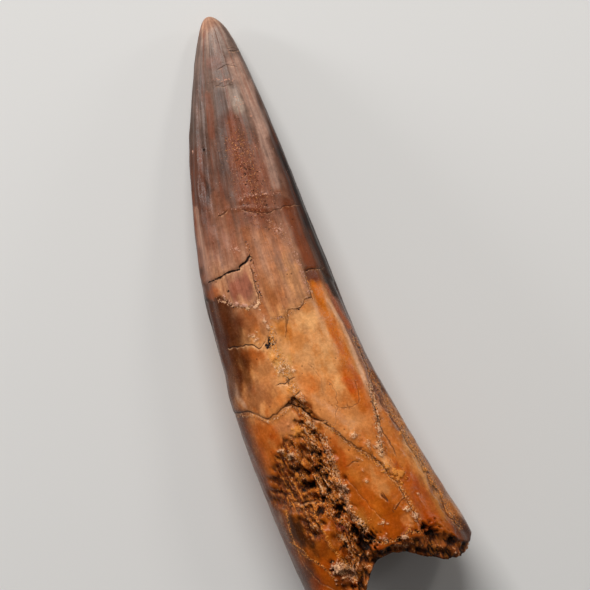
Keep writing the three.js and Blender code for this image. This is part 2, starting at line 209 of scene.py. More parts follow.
# Pale mineral crust and chips, as (across, along, radius, height, cover).
PALE_CRUSTS = [
    (-7.7, 95.8, 1.4, 0.5, 0.7), (-6.6, 97.1, 1.5, 0.5, 0.6), (-2.3, 96.7, 1.1, 0.3, 0.5),
    (3.4, 77.4, 0.8, 0.15, 0.5), (4.8, 78.4, 1.1, 0.25, 0.6), (5, 79.7, 0.9, 0.2, 0.55),
    (1.6, 75.5, 0.9, 0.2, 0.6), (-2.7, 83.4, 0.9, 0.3, 0.8), (-3.7, 84.6, 0.9, 0.3, 0.7),
    (-3.4, 80.4, 0.7, 0.2, 0.6), (1.3, 79.4, 0.4, 0.1, 0.5), (1.3, 81.5, 0.35, 0.08, 0.4),
    (1.3, 83.3, 0.5, 0.12, 0.5), (6.2, 89.9, 0.8, 0.25, 0.6), (7.2, 91.4, 0.8, 0.25, 0.7),
    (1.7, 90.8, 0.6, 0.1, 0.5), (4.5, 94.1, 0.7, 0.2, 0.8), (1.2, 93.4, 0.7, 0.15, 0.7),
    (-9.6, 75.4, 0.9, 0.25, 0.7), (-10.8, 74.4, 0.7, 0.2, 0.6), (8.9, 88.1, 0.35, 0.1, 0.8),
    (-6.3, 61.1, 1.5, 0.12, 0.55), (-5, 61.8, 0.8, 0.12, 0.6), (-4.6, 67, 0.8, 0.2, 0.5),
    (-4.3, 71.7, 0.7, 0.15, 0.65), (-5.2, 71, 0.6, 0.12, 0.6), (-10.1, 48.3, 0.5, 0.1, 0.9),
    (-8.9, 49.3, 0.6, 0.1, 0.9), (-7.3, 49.8, 0.6, 0.1, 0.9), (-12, 46.7, 0.5, 0.1, 0.7),
    (-11.3, 47.8, 0.45, 0.1, 0.8), (-6.6, 49.3, 0.4, 0.1, 0.8), (-9.3, 54.2, 0.6, 0.1, 0.65),
    (-9, 55.2, 0.5, 0.1, 0.6), (-6.7, 52.6, 0.5, 0.1, 0.7), (-6.5, 53.8, 0.5, 0.1, 0.7),
    (-7.5, 39.6, 0.9, 0.05, 0.5), (0.4, 38.9, 1.4, 0.05, 0.5), (-0.4, 18.1, 0.3, 0.05, 0.9),
    (1.8, 18.7, 0.3, 0.05, 0.8), (-8.1, 22.4, 0.3, 0.08, 1), (-9.6, 21.5, 0.3, 0.05, 0.9),
    (6.4, 73.4, 0.6, 0.2, 0.6), (6.1, 75.7, 0.7, 0.2, 0.7), (0.5, 16, 1.2, 0.03, 0.4),
    (-0.6, 45.5, 0.8, 0.04, 0.45), (2, 50.2, 0.5, 0.05, 0.6),
]
# Golden crystals, in the same form.
GOLD_CRUSTS = [
    (-7, 71.8, 1.3, 0.2, 0.8), (7, 83.9, 1, 0.25, 1), (5.1, 82.1, 0.8, 0.2, 0.8),
    (6.2, 83.2, 0.7, 0.15, 0.8), (-7, 59, 0.7, 0.15, 0.6), (-6, 60.6, 1.2, 0.1, 0.45),
    (-6.2, 64.7, 0.7, 0.1, 0.6), (10.6, 81.8, 0.6, 0.1, 0.8), (11.7, 84.8, 0.5, 0.1, 0.8),
    (12.1, 87.3, 0.6, 0.1, 0.7), (13, 90, 0.5, 0.1, 0.7), (8.5, 74, 0.5, 0.1, 0.7),
    (9.3, 77.6, 0.6, 0.1, 0.7), (-0.6, 89.6, 0.9, 0.05, 0.4), (5.4, 93.2, 0.8, 0.1, 0.5),
]
# Bands of broken grain, as (route of (across, along), half width, dark cover, pale cover, golden cover).
GRAIN_BANDS = [
    ([(6.9, 60), (7.6, 66), (9.2, 74), (10.9, 80), (12.2, 86), (13.4, 92), (14.4, 96)], 0.6, 0.36, 0.25,
     0.4),
    ([(7, 68), (6.8, 71), (6.5, 74), (6.2, 76), (5.2, 79)], 0.75, 0.45, 0.5, 0.3),
    ([(-2.4, 71.8), (1.3, 77.6), (4.6, 81.9), (6.4, 86), (7.6, 92)], 0.55, 0.3, 0.35, 0.45),
    ([(-16.3, 66.4), (-13.5, 67), (-11.1, 69), (-8.9, 68.4), (-6, 67.2)], 0.45, 0.15, 0.4, 0.3),
    ([(-5.4, 66), (-4.8, 69), (-5, 72), (-5.4, 75)], 0.8, 0.22, 0.4, 0.45),
    ([(-3.4, 74), (-3.2, 79), (-3.2, 84), (-2.8, 88), (-1.4, 91)], 0.9, 0.45, 0.5, 0.4),
    ([(-13, 46.8), (-11, 48.4), (-8.5, 49.6), (-6.4, 49)], 0.45, 0.3, 0.5, 0),
    ([(-5.6, 52.5), (-3.4, 53), (-0.7, 52.4), (1, 51.3), (2.2, 50)], 0.35, 0.4, 0.4, 0.2),
    ([(-13.2, 84), (-13.6, 88), (-13.2, 91.3), (-10, 94.8), (-9, 97)], 0.3, 0.4, 0.15, 0.5),
    ([(-6, 54), (-6.6, 57), (-6, 60), (-5.6, 64), (-5, 66)], 0.7, 0.2, 0.4, 0.5),
    ([(-5.4, 39), (-5.6, 42), (-5.8, 46), (-6.2, 48.6)], 0.5, 0.35, 0.35, 0.3),
    ([(-1, 36.6), (0.2, 38.6), (1.6, 42), (1.8, 46), (2, 50)], 0.7, 0, 0.4, 0.2),
    ([(-2.2, 92.6), (0.6, 93.8), (3, 94.2), (5.4, 93.6), (7.6, 94.2)], 0.5, 0.5, 0.28, 0.45),
]

SHEET_COLUMNS = 296
SHEET_RINGS = 332
TIP_RINGS = 22
TIP_REACH = 0.055  # the share of the tooth's length that the tip's rings cover
BREAK_RINGS = 12
CAVITY_RINGS = 28
RIM_RING = SHEET_RINGS - BREAK_RINGS - CAVITY_RINGS
LIP_RING = RIM_RING + BREAK_RINGS
FACE_BIAS = 0.45  # how strongly the columns gather on the face
STRAND_TURN = math.radians(-14)  # how far the root's fibres lean from the tooth's length
ROOT_BIAS = 0.85  # under 1, the rings gather towards the root
GRAIN_WIDTH = 10  # millimetres of grain pattern to a radian round the tooth


def through(pairs, read=np.sqrt):
    """A function that runs smoothly through (place, value) pairs, for whole arrays of places."""
    at = read(np.array([pair[0] for pair in pairs], float))
    value = np.array([pair[1] for pair in pairs], float)
    index = np.arange(len(at))
    before = np.maximum(index - 1, 0)
    after = np.minimum(index + 1, len(at) - 1)
    slope = (value[after] - value[before]) / (at[after] - at[before])

    def read_off(place):
        p = np.clip(read(place), at[0], at[-1])
        i = np.clip(np.searchsorted(at, p, side="right") - 1, 0, len(at) - 2)
        span = at[i + 1] - at[i]
        t = (p - at[i]) / span
        keep = (1 + 2 * t) * (1 - t) ** 2
        take = t * t * (3 - 2 * t)
        leave = t * (1 - t) ** 2 * span
        arrive = t * t * (t - 1) * span
        return keep * value[i] + take * value[i + 1] + leave * slope[i] + arrive * slope[i + 1]

    return read_off


def same(place):
    return np.asarray(place, float)


def smooth(start, end, value):
    t = np.clip((value - start) / (end - start), 0, 1)
    return t * t * (3 - 2 * t)


def round_section(pairs):
    turned = [(degrees + turn, value) for turn in (-360, 0, 360) for degrees, value in pairs]
    return through(turned, same)


def uneven(a, b, c):
    """A slow irregular value from about -1 to 1, the same as the solid's."""
    first = np.sin(0.9 * a + 0.4 * b - 0.5 * c + 0.6)
    second = np.sin(-0.7 * a + 1.1 * b + 0.8 * c + 2.1)
    third = np.sin(1.7 * a - 0.6 * b + 1.3 * c + 4.4)
    return (first + second + 0.6 * third) / 2.6


def fray(angle, row):
    c, s = np.cos(angle), np.sin(angle)
    return (uneven(5 * c, 5 * s, row) + 0.6 * uneven(15 * c, 15 * s, row + 4)) / 1.6


def ripples(seed, sizes, *places):
    """Seeded irregular relief of about -1 to 1 with lumps of the given size along each place."""
    draw = np.random.default_rng(seed)
    total = np.zeros(np.broadcast(*places).shape)
    waves = 26
    for _ in range(waves):
        heading = draw.normal(size=len(places))
        heading *= draw.uniform(0.6, 1.5) / np.linalg.norm(heading)
        start = draw.uniform(0, 2 * math.pi)
        turn = sum(2 * math.pi * h * place / size for h, place, size in zip(heading, places, sizes))
        total += np.cos(turn + start)
    return total / math.sqrt(waves)


hollow_edge = through(EDGE_HOLLOW)
round_edge = through(EDGE_ROUND)
foot_height = through(FOOT_HEIGHT)
thickness = through(THICKNESS)
rim_at = round_section(RIM)
lip_at = round_section(LIP)
enamel_edge = through(ENAMEL_EDGE, same)


def section_at(along):
    right, left = hollow_edge(along), round_edge(along)
    foot, thick = foot_height(along), thickness(along)
    waist = foot + WAIST_SHARE * thick
    return {
        "middle": (right + left) / 2,
        "half": (right - left) / 2,
        "waist": waist,
        "rise": foot + thick - waist,
        "drop": waist - foot,
    }


def oval(section, angle, size):
    """Points of the section's slightly square oval, and the way out of it, as x and z."""
    c, s = np.cos(angle), np.sin(angle)
    square = 1 + np.sin(2 * angle) ** 2 * np.where(s > 0, SQUARE_FACE, SQUARE_FOOT)
    height = np.where(s > 0, section["rise"], section["drop"])
    x = section["middle"] + size * square * section["half"] * c
    z = section["waist"] + size * square * height * s
    out = np.array([c * (height + 1e-6), s * (section["half"] + 1e-6)])
    return x, z, out / np.linalg.norm(out, axis=0)


def bed_cover(bed, across, along):
    """How far a point is inside a worn hollow, from 0 to 1, and the hollow's depth there."""
    middle = through([(row[0], row[1]) for row in bed], same)(along)
    half = through([(row[0], row[2]) for row in bed], same)(along)
    deep = through([(row[0], row[3]) for row in bed], same)(along)
    started = smooth(bed[0][0] - 1.2, bed[0][0] + 0.6, along)
    ended = smooth(bed[-1][0] + 3, bed[-1][0] + 6, along)
    frayed = half * (1 + 0.25 * uneven(2.1 * across, 2.6 * along, 0))
    off = np.abs(across - middle) / frayed + 0.12 * ripples(3, (1.8, 2.8), across, along)
    floor = deep * (1 + 0.3 * uneven(2.6 * across, 1.3 * along, 5))
    cover = started * (1 - ended) * (1 - smooth(0.5, 1.35, off))
    return cover, floor * cover


def ledge_height(ledge, across, along):
    edge, step, run = ledge
    left, right = edge[0][0], edge[-1][0]
    within = smooth(left - 1, left + 0.5, across) * (1 - smooth(right - 2.5, right + 1, across))
    above = through(edge, same)(across) - along
    return step * within * smooth(-0.25, 0.25, above) * (1 - smooth(run * 0.3, run, above))


def pit_cover(pit, across, along):
    off = np.hypot(across - pit[0], along - pit[1]) / pit[2]
    cover = np.zeros(across.shape)
    near = np.flatnonzero(off < 2)
    frayed = off[near] * (1 + 0.38 * ripples(int(pit[1] * 10), (0.9, 0.9), across[near], along[near]))
    cover[near] = 1 - smooth(0.35, 1.1, frayed)
    return cover


def jagged(route, seed, wander=0.17, step=0.55):
    """The route with small seeded bends between its points."""
    draw = np.random.default_rng(seed)
    bent = [route[0]]
    for (x0, y0), (x1, y1) in zip(route, route[1:]):
        length = math.hypot(x1 - x0, y1 - y0)
        count = max(1, round(length / step))
        for k in range(1, count + 1):
            t = k / count
            off = draw.uniform(-wander, wander) if k < count else 0
            side = ((y0 - y1) / length * off, (x1 - x0) / length * off)
            bent.append((x0 + (x1 - x0) * t + side[0], y0 + (y1 - y0) * t + side[1]))
    return np.array(bent)


def from_route(route, across, along, reach):
    """For each point, its signed distance from a broken line, far beyond reach where it isn't near."""
    signed = np.full(across.shape, 99.0)
    low, high = route.min(0) - reach, route.max(0) + reach
    near = np.flatnonzero((across > low[0]) & (across < high[0]) & (along > low[1]) & (along < high[1]))
    x, y = across[near], along[near]
    best = np.full(x.shape, 99.0)
    side = np.ones(x.shape)
    for (x0, y0), (x1, y1) in zip(route, route[1:]):
        dx, dy = x1 - x0, y1 - y0
        t = np.clip(((x - x0) * dx + (y - y0) * dy) / (dx * dx + dy * dy), 0, 1)
        off = np.hypot(x - x0 - t * dx, y - y0 - t * dy)
        closer = off < best
        best = np.where(closer, off, best)
        side = np.where(closer, np.sign(dx * (y - y0) - dy * (x - x0)) + 1e-9, side)
    signed[near] = best * np.sign(side)
    return signed


class Cracks:
    """Every crack of one side: its groove, and what the material needs to draw it sharply."""

    def __init__(self, cracks, across, along, where, seed):
        self.groove = np.zeros(across.shape)
        self.ratio = np.full(across.shape, 9.0)
        self.near = np.zeros(across.shape)
        for number, (route, half, depth, dark) in enumerate(cracks):
            signed = from_route(jagged(route, seed + number), across, along, 2.5)
            half = CRACK_WIDTH * half
            ratio = signed / half
            carve = np.maximum(0, 1 - np.abs(signed) / max(half, 0.24))
            self.groove = np.maximum(self.groove, depth * carve * where)
            closer = np.abs(ratio) < np.abs(self.ratio)
            self.ratio = np.where(closer, ratio, self.ratio)
            reach = max(3.2 * half, 0.6)
            near = where * (1 - smooth(0.7 * reach, reach, np.abs(signed)))
            self.near = np.maximum(self.near, dark * near)


def from_lines(lines, across, along, where, seed):
    """Height and lightness of raised lines."""
    height = np.zeros(across.shape)
    light = np.zeros(across.shape)
    for number, (route, half, rise, pale) in enumerate(lines):
        signed = np.abs(from_route(jagged(route, seed + number), across, along, 2))
        cover = 1 - smooth(0.4 * half, max(2 * half, 0.34), signed)
        height = np.maximum(height, rise * cover * where)
        light = np.maximum(light, pale * cover * where)
    return height, light


def from_bands(bands, across, along, where):
    """The dark, pale and golden covers of bands of broken grain."""
    covers = np.zeros((3,) + across.shape)
    for route, half, *shares in bands:
        off = np.abs(from_route(np.array(route, float), across, along, 2.5))
        near = where * (1 - smooth(0.3 * half, 1.5 * half, off))
        covers = np.maximum(covers, np.multiply.outer(shares, near))
    return covers


def srgb(red, green, blue):
    """A colour given as the 0 to 255 values of a screen, in linear light."""
    shares = [value / 255 for value in (red, green, blue)]
    return np.array([s / 12.92 if s <= 0.04045 else ((s + 0.055) / 1.055) ** 2.4 for s in shares])


PLUM_GREY = srgb(84, 66, 60)
ROSE = srgb(150, 108, 90)
RUST = srgb(128, 62, 30)
FLESH = srgb(174, 112, 76)
TAN = srgb(206, 146, 92)
PALE_TAN = srgb(224, 170, 116)
ORANGE = srgb(192, 106, 34)
DEEP_ORANGE = srgb(160, 78, 10)
AMBER = srgb(186, 104, 4)
RED_AMBER = srgb(180, 76, 4)
OLIVE = srgb(160, 108, 48)
DARK_OLIVE = srgb(72, 39, 11)
DARK_BROWN = srgb(64, 30, 12)
UMBER = srgb(92, 44, 14)
GRAIN_BROWN = srgb(110, 58, 26)
BROKEN_TAN = srgb(168, 96, 36)
BLACK_BROWN = srgb(20, 11, 8)
SOOT_BROWN = srgb(30, 14, 8)
CREAM = srgb(222, 178, 138)
PINK_CREAM = srgb(208, 162, 130)
GOLD = srgb(212, 140, 66)
BRASS = srgb(176, 122, 78)
STRAND_TAN = srgb(200, 124, 44)
PINK_PURPLE = srgb(140, 96, 78)
DUSTY_PINK = srgb(190, 142, 122)
DENTINE_STAIN = (0.9, 0.66, 0.36, 1)

# The colour down the length, as (along, middle of the face, outer edges), before the patches. The darker
# outer edges are painted shade where the sides turn away; the middle's fall from bright near 60 along to
# dark at the root is partly the tooth's colour and partly painted light.
GROUND = [
    (0, srgb(166, 138, 120), srgb(138, 110, 94)),
    (2.5, srgb(144, 120, 108), srgb(110, 92, 82)),
    (6, srgb(114, 95, 86), srgb(90, 74, 66)),
    (14, srgb(108, 85, 74), srgb(80, 61, 51)),
    (21, srgb(98, 71, 59), srgb(64, 42, 32)),
    (28, srgb(108, 70, 53), srgb(48, 27, 16)),
    (35, srgb(126, 82, 60), srgb(34, 18, 9)),
    (41, srgb(168, 123, 97), srgb(28, 14, 7)),
    (47, srgb(176, 127, 95), srgb(36, 17, 7)),
    (53, srgb(198, 140, 92), srgb(52, 23, 5)),
    (60, srgb(210, 153, 102), srgb(72, 36, 10)),
    (68, srgb(196, 131, 78), srgb(92, 50, 20)),
    (75, srgb(186, 117, 60), srgb(104, 58, 22)),
    (82, srgb(176, 104, 40), srgb(104, 58, 20)),
    (88, srgb(168, 93, 22), srgb(100, 54, 16)),
    (94, srgb(158, 80, 10), srgb(82, 42, 10)),
    (104, srgb(110, 56, 12), srgb(66, 32, 9)),
]
# Patches, as (across, along, half width, half length, lean, colour, cover). Lean is across per along.
ENAMEL_PATCHES = [
    (-0.6, 1, 2.4, 1.6, 0, FLESH, 0.3),
    # A pale patch near the tip: painted sheen.
    (1, 4.6, 1.2, 2.4, 0.1, srgb(160, 140, 130), 0.5),
    (-1.6, 2.8, 0.6, 0.6, 0, RUST, 0.3),
    (-1, 8, 2.2, 1.6, 0, srgb(120, 80, 68), 0.5),
    (0.4, 9.3, 0.9, 0.5, 0, PLUM_GREY, 0.5),
    (-4.9, 12, 1.2, 3, -0.2, PLUM_GREY, 0.5),
    (0, 14.4, 1.2, 2, 0, srgb(190, 170, 156), 0.35),
    (0.3, 16.6, 1, 2, 0, srgb(196, 178, 162), 0.35),
    (-6, 28, 1.5, 5, 0, PLUM_GREY, 0.35),
    (-13.6, 38, 2.6, 9, -0.15, srgb(112, 70, 52), 0.7),
    (-9.8, 28, 1.8, 4.4, -0.25, srgb(66, 42, 32), 0.9),
    (-7.4, 20.6, 1.6, 3.4, -0.3, srgb(76, 58, 50), 0.5),
    (-2.6, 34.4, 2.6, 1.7, 0, srgb(92, 48, 30), 0.7),
    (2, 35, 2, 2, 0, srgb(98, 56, 40), 0.6),
    (-7.4, 38, 0.8, 5, -0.06, RUST, 0.4),
    (-9.4, 38, 1.6, 4.6, -0.12, ROSE, 0.4),
    # A rose patch along the left edge: painted highlight.
    (-13, 38, 0.8, 6, -0.15, ROSE, 0.4),
    (-3.7, 49.6, 1.6, 2.8, 0, RUST, 0.45),
    (-0.8, 40.6, 1.6, 4.4, 0, FLESH, 0.5),
    (0, 47, 1.6, 4, 0, TAN, 0.45),
    (-8.6, 46, 2.6, 2.6, 0, srgb(140, 84, 68), 0.8),
    (-13.4, 45.4, 1.2, 1.6, 0, DEEP_ORANGE, 0.6),
    (1.6, 36.8, 1.2, 3, 0, ROSE, 0.4),
    (3.4, 46, 1.4, 3, 0, DARK_BROWN, 0.5),
]
BODY_PATCHES = [
    # This patch and the dark ones at 55 and 60 along near the left edge are partly a dark stain and partly
    # painted shadow.
    (-13.2, 51, 2.8, 4.4, 0, DARK_BROWN, 0.6),
    (-10, 51.6, 2, 2.4, 0, RUST, 0.6),
    (-7, 51.6, 1.8, 2.4, 0, FLESH, 0.5),
    (-14, 55, 3, 3, 0, DARK_BROWN, 0.6),
    (-8.6, 53.2, 1.7, 1.8, 0, srgb(146, 88, 50), 0.55),
    (-4, 54.8, 1.5, 2.4, 0, srgb(184, 116, 48), 0.65),
    (-10.6, 57.8, 2.6, 1.6, 0, DEEP_ORANGE, 0.8),
    (-12.9, 60, 2.2, 2.6, 0, srgb(100, 50, 8), 0.75),
    (-9.4, 60.6, 2.4, 2.6, 0, srgb(172, 108, 60), 0.7),
    (-11.6, 64.4, 3, 2.6, 0, srgb(140, 84, 48), 0.75),
    # Two pale strokes on the left edge: painted highlight.
    (-14.8, 62.4, 0.5, 1.8, 0.12, srgb(206, 172, 148), 0.5),
    (-14.2, 64.4, 0.35, 1.2, 0.1, srgb(206, 172, 148), 0.4),
    (-6.2, 60.4, 1.5, 3, 0.1, srgb(196, 146, 84), 0.8),
    (-7, 58.8, 0.7, 0.7, 0, GOLD, 0.5),
    (-5.8, 64.6, 0.9, 1.4, 0, GOLD, 0.5),
    (-2.6, 64.6, 2, 2.4, 0, ORANGE, 0.5),
    (0, 54.6, 2.2, 2, 0, PALE_TAN, 0.6),
    (1.2, 61.6, 1.6, 3, 0, PALE_TAN, 0.35),
    (3.4, 49, 1, 2.2, 0, DEEP_ORANGE, 0.9),
    (2.7, 51.4, 0.7, 1.2, 0, GOLD, 0.5),
    (4.5, 67.8, 1.5, 3, 0.1, ORANGE, 0.8),
    (2.1, 66.4, 1.3, 1.8, 0, PALE_TAN, 0.6),
    (-12.4, 70.4, 2.8, 2.6, 0, srgb(170, 88, 26), 0.85),
    (-8.8, 70.6, 2, 1.6, 0, FLESH, 0.5),
    (-6.6, 71.8, 1.2, 1.2, 0, GOLD, 0.5),
    (-12.6, 76, 3, 5, 0, DEEP_ORANGE, 0.6),
    (-3.4, 74, 1.2, 2.2, 0.2, DEEP_ORANGE, 0.8),
    (-1.8, 78, 1.2, 4, 0, DEEP_ORANGE, 0.8),
    (-1.2, 84.6, 1.2, 4, 0, DEEP_ORANGE, 0.7),
    (1.4, 74, 1.8, 2, 0, TAN, 0.5),
    (2.8, 84, 1.5, 2.6, 0.2, TAN, 0.5),
    (5.2, 80.8, 1, 2, 0.3, PALE_TAN, 0.5),
    (0.6, 87, 1.6, 3, 0, ORANGE, 0.4),
    (-1.4, 89, 1.1, 2, 0, OLIVE, 0.6),
    (3.4, 92, 2, 1.8, 0, DEEP_ORANGE, 0.7),
    (5.6, 91.6, 1.1, 1.4, 0, TAN, 0.45),
    (8.4, 87, 1.3, 4.4, 0.15, DEEP_ORANGE, 0.9),
    (9.4, 92.6, 1.2, 2.6, 0, DEEP_ORANGE, 0.9),
    # A light tan patch here: painted sheen.
    (10.8, 83.6, 1.2, 6.4, 0.2, srgb(196, 138, 80), 0.85),
    (12, 91.6, 0.9, 3, 0.2, OLIVE, 0.6),
    (-11.8, 88.2, 2.6, 4.4, 0.1, DARK_OLIVE, 1),
    (-9.4, 91.2, 1.2, 2.6, 0.1, srgb(118, 62, 14), 0.7),
    # A slim pale streak on the plate's left edge: painted highlight.
    (-14.5, 86, 0.35, 2.8, 0.06, srgb(170, 150, 134), 0.6),
    (-13.6, 96, 2.6, 4, 0.1, DARK_BROWN, 0.5),
    (-11.4, 99, 2, 3, 0, DEEP_ORANGE, 0.6),
    (-5.6, 89.6, 0.5, 0.8, 0.3, srgb(170, 84, 72), 0.9),
]
WORN_PATCHES = [
    (-5.6, 89.6, 0.6, 1, 0.3, srgb(180, 92, 78), 0.9),
    (-7.6, 74.2, 1.2, 1.6, 0, ORANGE, 0.7),
    (-3.6, 76, 0.9, 3.6, 0, ORANGE, 0.8),
    (-3.8, 84, 0.8, 3.4, 0, srgb(200, 132, 72), 0.6),
    (-8.2, 83.8, 0.9, 1.8, 0.2, ORANGE, 0.6),
    (-6, 87.4, 0.8, 1.4, 0.2, ORANGE, 0.5),
    (-9.2, 79, 0.8, 2.4, 0.2, DARK_BROWN, 0.6),
]
# Streaks, as (route, half width, colour, cover).
ENAMEL_STREAKS = [
    # A pale streak down the crown's right part: painted sheen.
    ([(1.9, 9), (2.6, 15), (2.8, 21), (2.4, 27), (2.3, 31)], 1.3, srgb(180, 147, 131), 0.66),
    # These two streaks darken the crown's right edge: painted shadow.
    ([(4.2, 24), (4.6, 30), (4.8, 36), (5, 42), (5.4, 50)], 1.5, DARK_BROWN, 0.75),
    ([(5.3, 26), (5.8, 32), (6.2, 38), (6.6, 44), (7.2, 50)], 1.3, BLACK_BROWN, 0.95),
    ([(-1.9, 18.5), (-2.4, 24), (-2.4, 30), (-2.6, 36)], 2, srgb(120, 66, 42), 0.75),
    ([(-2.2, 13.5), (-2.8, 17), (-4, 21), (-5.2, 26)], 1, PLUM_GREY, 0.7),
    ([(-4.2, 13), (-4.6, 16), (-5.6, 20)], 0.6, RUST, 0.35),
    ([(-9, 22), (-10.6, 28), (-11.8, 33)], 1.3, UMBER, 0.7),
    # A pale streak along the left edge: painted highlight.
    ([(-12, 31), (-12.7, 37), (-13, 43)], 0.6, srgb(196, 150, 124), 0.36),
    ([(0.6, 24), (0.7, 30), (0.8, 34)], 0.7, PINK_PURPLE, 0.5),
    ([(-5.2, 37), (-5, 42), (-4.9, 46), (-4.2, 50)], 0.9, srgb(150, 86, 34), 0.45),
    ([(-2.6, 38), (-2.6, 44), (-2.4, 49)], 0.7, ORANGE, 0.25),
    ([(3, 35), (3.2, 40), (3.6, 47)], 1.1, srgb(110, 54, 22), 0.85),
]
BODY_STREAKS = [
    # A wide dark streak at the left edge: painted shadow, partly a dark stain.
    ([(-14.6, 46), (-14.8, 52), (-15, 56), (-15.6, 59)], 4.6, srgb(76, 34, 6), 0.85),
    ([(-16.4, 66), (-16.6, 74), (-16.2, 82), (-15.6, 90)], 2.4, srgb(84, 38, 9), 0.7),
    ([(3.2, 46), (3.7, 48.6)], 1.4, srgb(96, 44, 18), 0.9),
    # These two streaks darken the body's right edge: painted shade.
    ([(5.4, 46), (6.4, 51), (7.2, 56)], 1.1, srgb(40, 20, 9), 0.85),
    ([(7, 50), (7.6, 56), (8.4, 62), (9.2, 68)], 0.45, DARK_BROWN, 0.7),
    ([(5.8, 53), (6.8, 58.8), (7.2, 63), (7.4, 68), (8.6, 73), (9.6, 77)], 0.75, PINK_PURPLE, 0.85),
    ([(3.3, 49.5), (3.4, 53), (3.9, 57), (4.3, 61.5), (4.2, 65.5)], 1.05, AMBER, 1),
    ([(4.3, 64.8), (4.6, 68), (4.9, 71.4)], 1.2, srgb(178, 94, 18), 0.85),
    ([(3.3, 66.2), (3.8, 68)], 0.8, RED_AMBER, 0.6),
    # The pale pink line along the right ridge: painted highlight.
    ([(4.7, 52.5), (5.6, 57), (6, 62), (6.2, 67.9), (7.4, 72.6)], 0.35, PINK_CREAM, 0.9),
    ([(5.2, 50), (5.8, 54), (6.6, 58)], 0.4, DEEP_ORANGE, 0.7),
    # A light tan band along the lower right edge: partly the tooth's tan and partly painted sheen.
    ([(9.6, 72), (11.6, 79), (13.2, 86), (14.6, 93)], 1.5, srgb(180, 118, 58), 0.65),
]
BACK_PATCHES = [
    (-8, 60, 4, 9, 0, FLESH, 0.6),
    (0, 66, 3, 8, 0.05, PALE_TAN, 0.4),
    (4, 52, 1, 9, 0.08, AMBER, 0.7),
    (-11, 80, 3, 9, 0, DEEP_ORANGE, 0.7),
    (6, 84, 3, 9, 0.1, ORANGE, 0.6),
    (-3, 84, 3, 8, 0, OLIVE, 0.5),
    (-2, 30, 2, 10, -0.1, RUST, 0.6),
    (3, 36, 1.2, 10, 0.05, ROSE, 0.6),
    (-8, 34, 2, 8, -0.2, PLUM_GREY, 0.5),
    (0, 94, 5, 3, 0, DARK_BROWN, 0.6),
    (9, 76, 1.2, 9, 0.15, DARK_BROWN, 0.5),
    (-4, 14, 1.2, 6, -0.1, PLUM_GREY, 0.6),
]
BACK_BANDS = [
    ([(-5.6, 60.3), (-2.2, 61.4), (0.6, 64), (2.4, 68)], 0.5, 0.4, 0.5, 0.3),
    ([(2.4, 70), (3, 79), (3.4, 86), (4.2, 94)], 0.7, 0.45, 0.35, 0.4),
    ([(-9, 84), (-6, 88), (-5, 92), (-3, 95)], 1.1, 0.5, 0.4, 0.3),
]


def lay(tint, colour, cover):
    return tint + (colour - tint) * cover[:, None]


def patch_cover(patch, across, along, seed):
    centre, down, half, length, lean = patch[:5]
    side = (across - centre - lean * (along - down)) / half
    end = (along - down) / length
    off = np.hypot(side, end)
    cover = np.zeros(across.shape)
    near = np.flatnonzero(off < 2)
    x, y = across[near], along[near]
    edge = 0.24 * ripples(seed, (2, 4), x, y) + 0.09 * ripples(seed + 1, (0.7, 1), x, y)
    cover[near] = 1 - smooth(0.45, 1.25, off[near] + edge)
    return cover


def ground_colour(along, outer):
    """The colour down the length, where outer goes from 0 in the middle to 1 at the outer edges, whose
    darker colour is painted shade.
    """
    at = [row[0] for row in GROUND]
    middle, edge = ([np.interp(along, at, [row[side][k] for row in GROUND]) for k in range(3)]
                    for side in (1, 2))
    return lay(np.stack(middle, axis=1), np.stack(edge, axis=1), outer)


def lay_patches(tint, patches, across, along, where, seed):
    for number, patch in enumerate(patches):
        tone, cover = patch[5:]
        tint = lay(tint, tone, cover * where * patch_cover(patch, across, along, seed + 2 * number))
    return tint


def lay_streaks(tint, streaks, across, along, where, seed):
    for number, (route, half, tone, cover) in enumerate(streaks):
        off = np.abs(from_route(np.array(route, float), across, along, 2.5 * half)) / half
        off += 0.15 * ripples(seed + number, (1.4, 5), across, along)
        tint = lay(tint, tone, cover * where * (1 - smooth(0.35, 1.35, off)))
    return tint


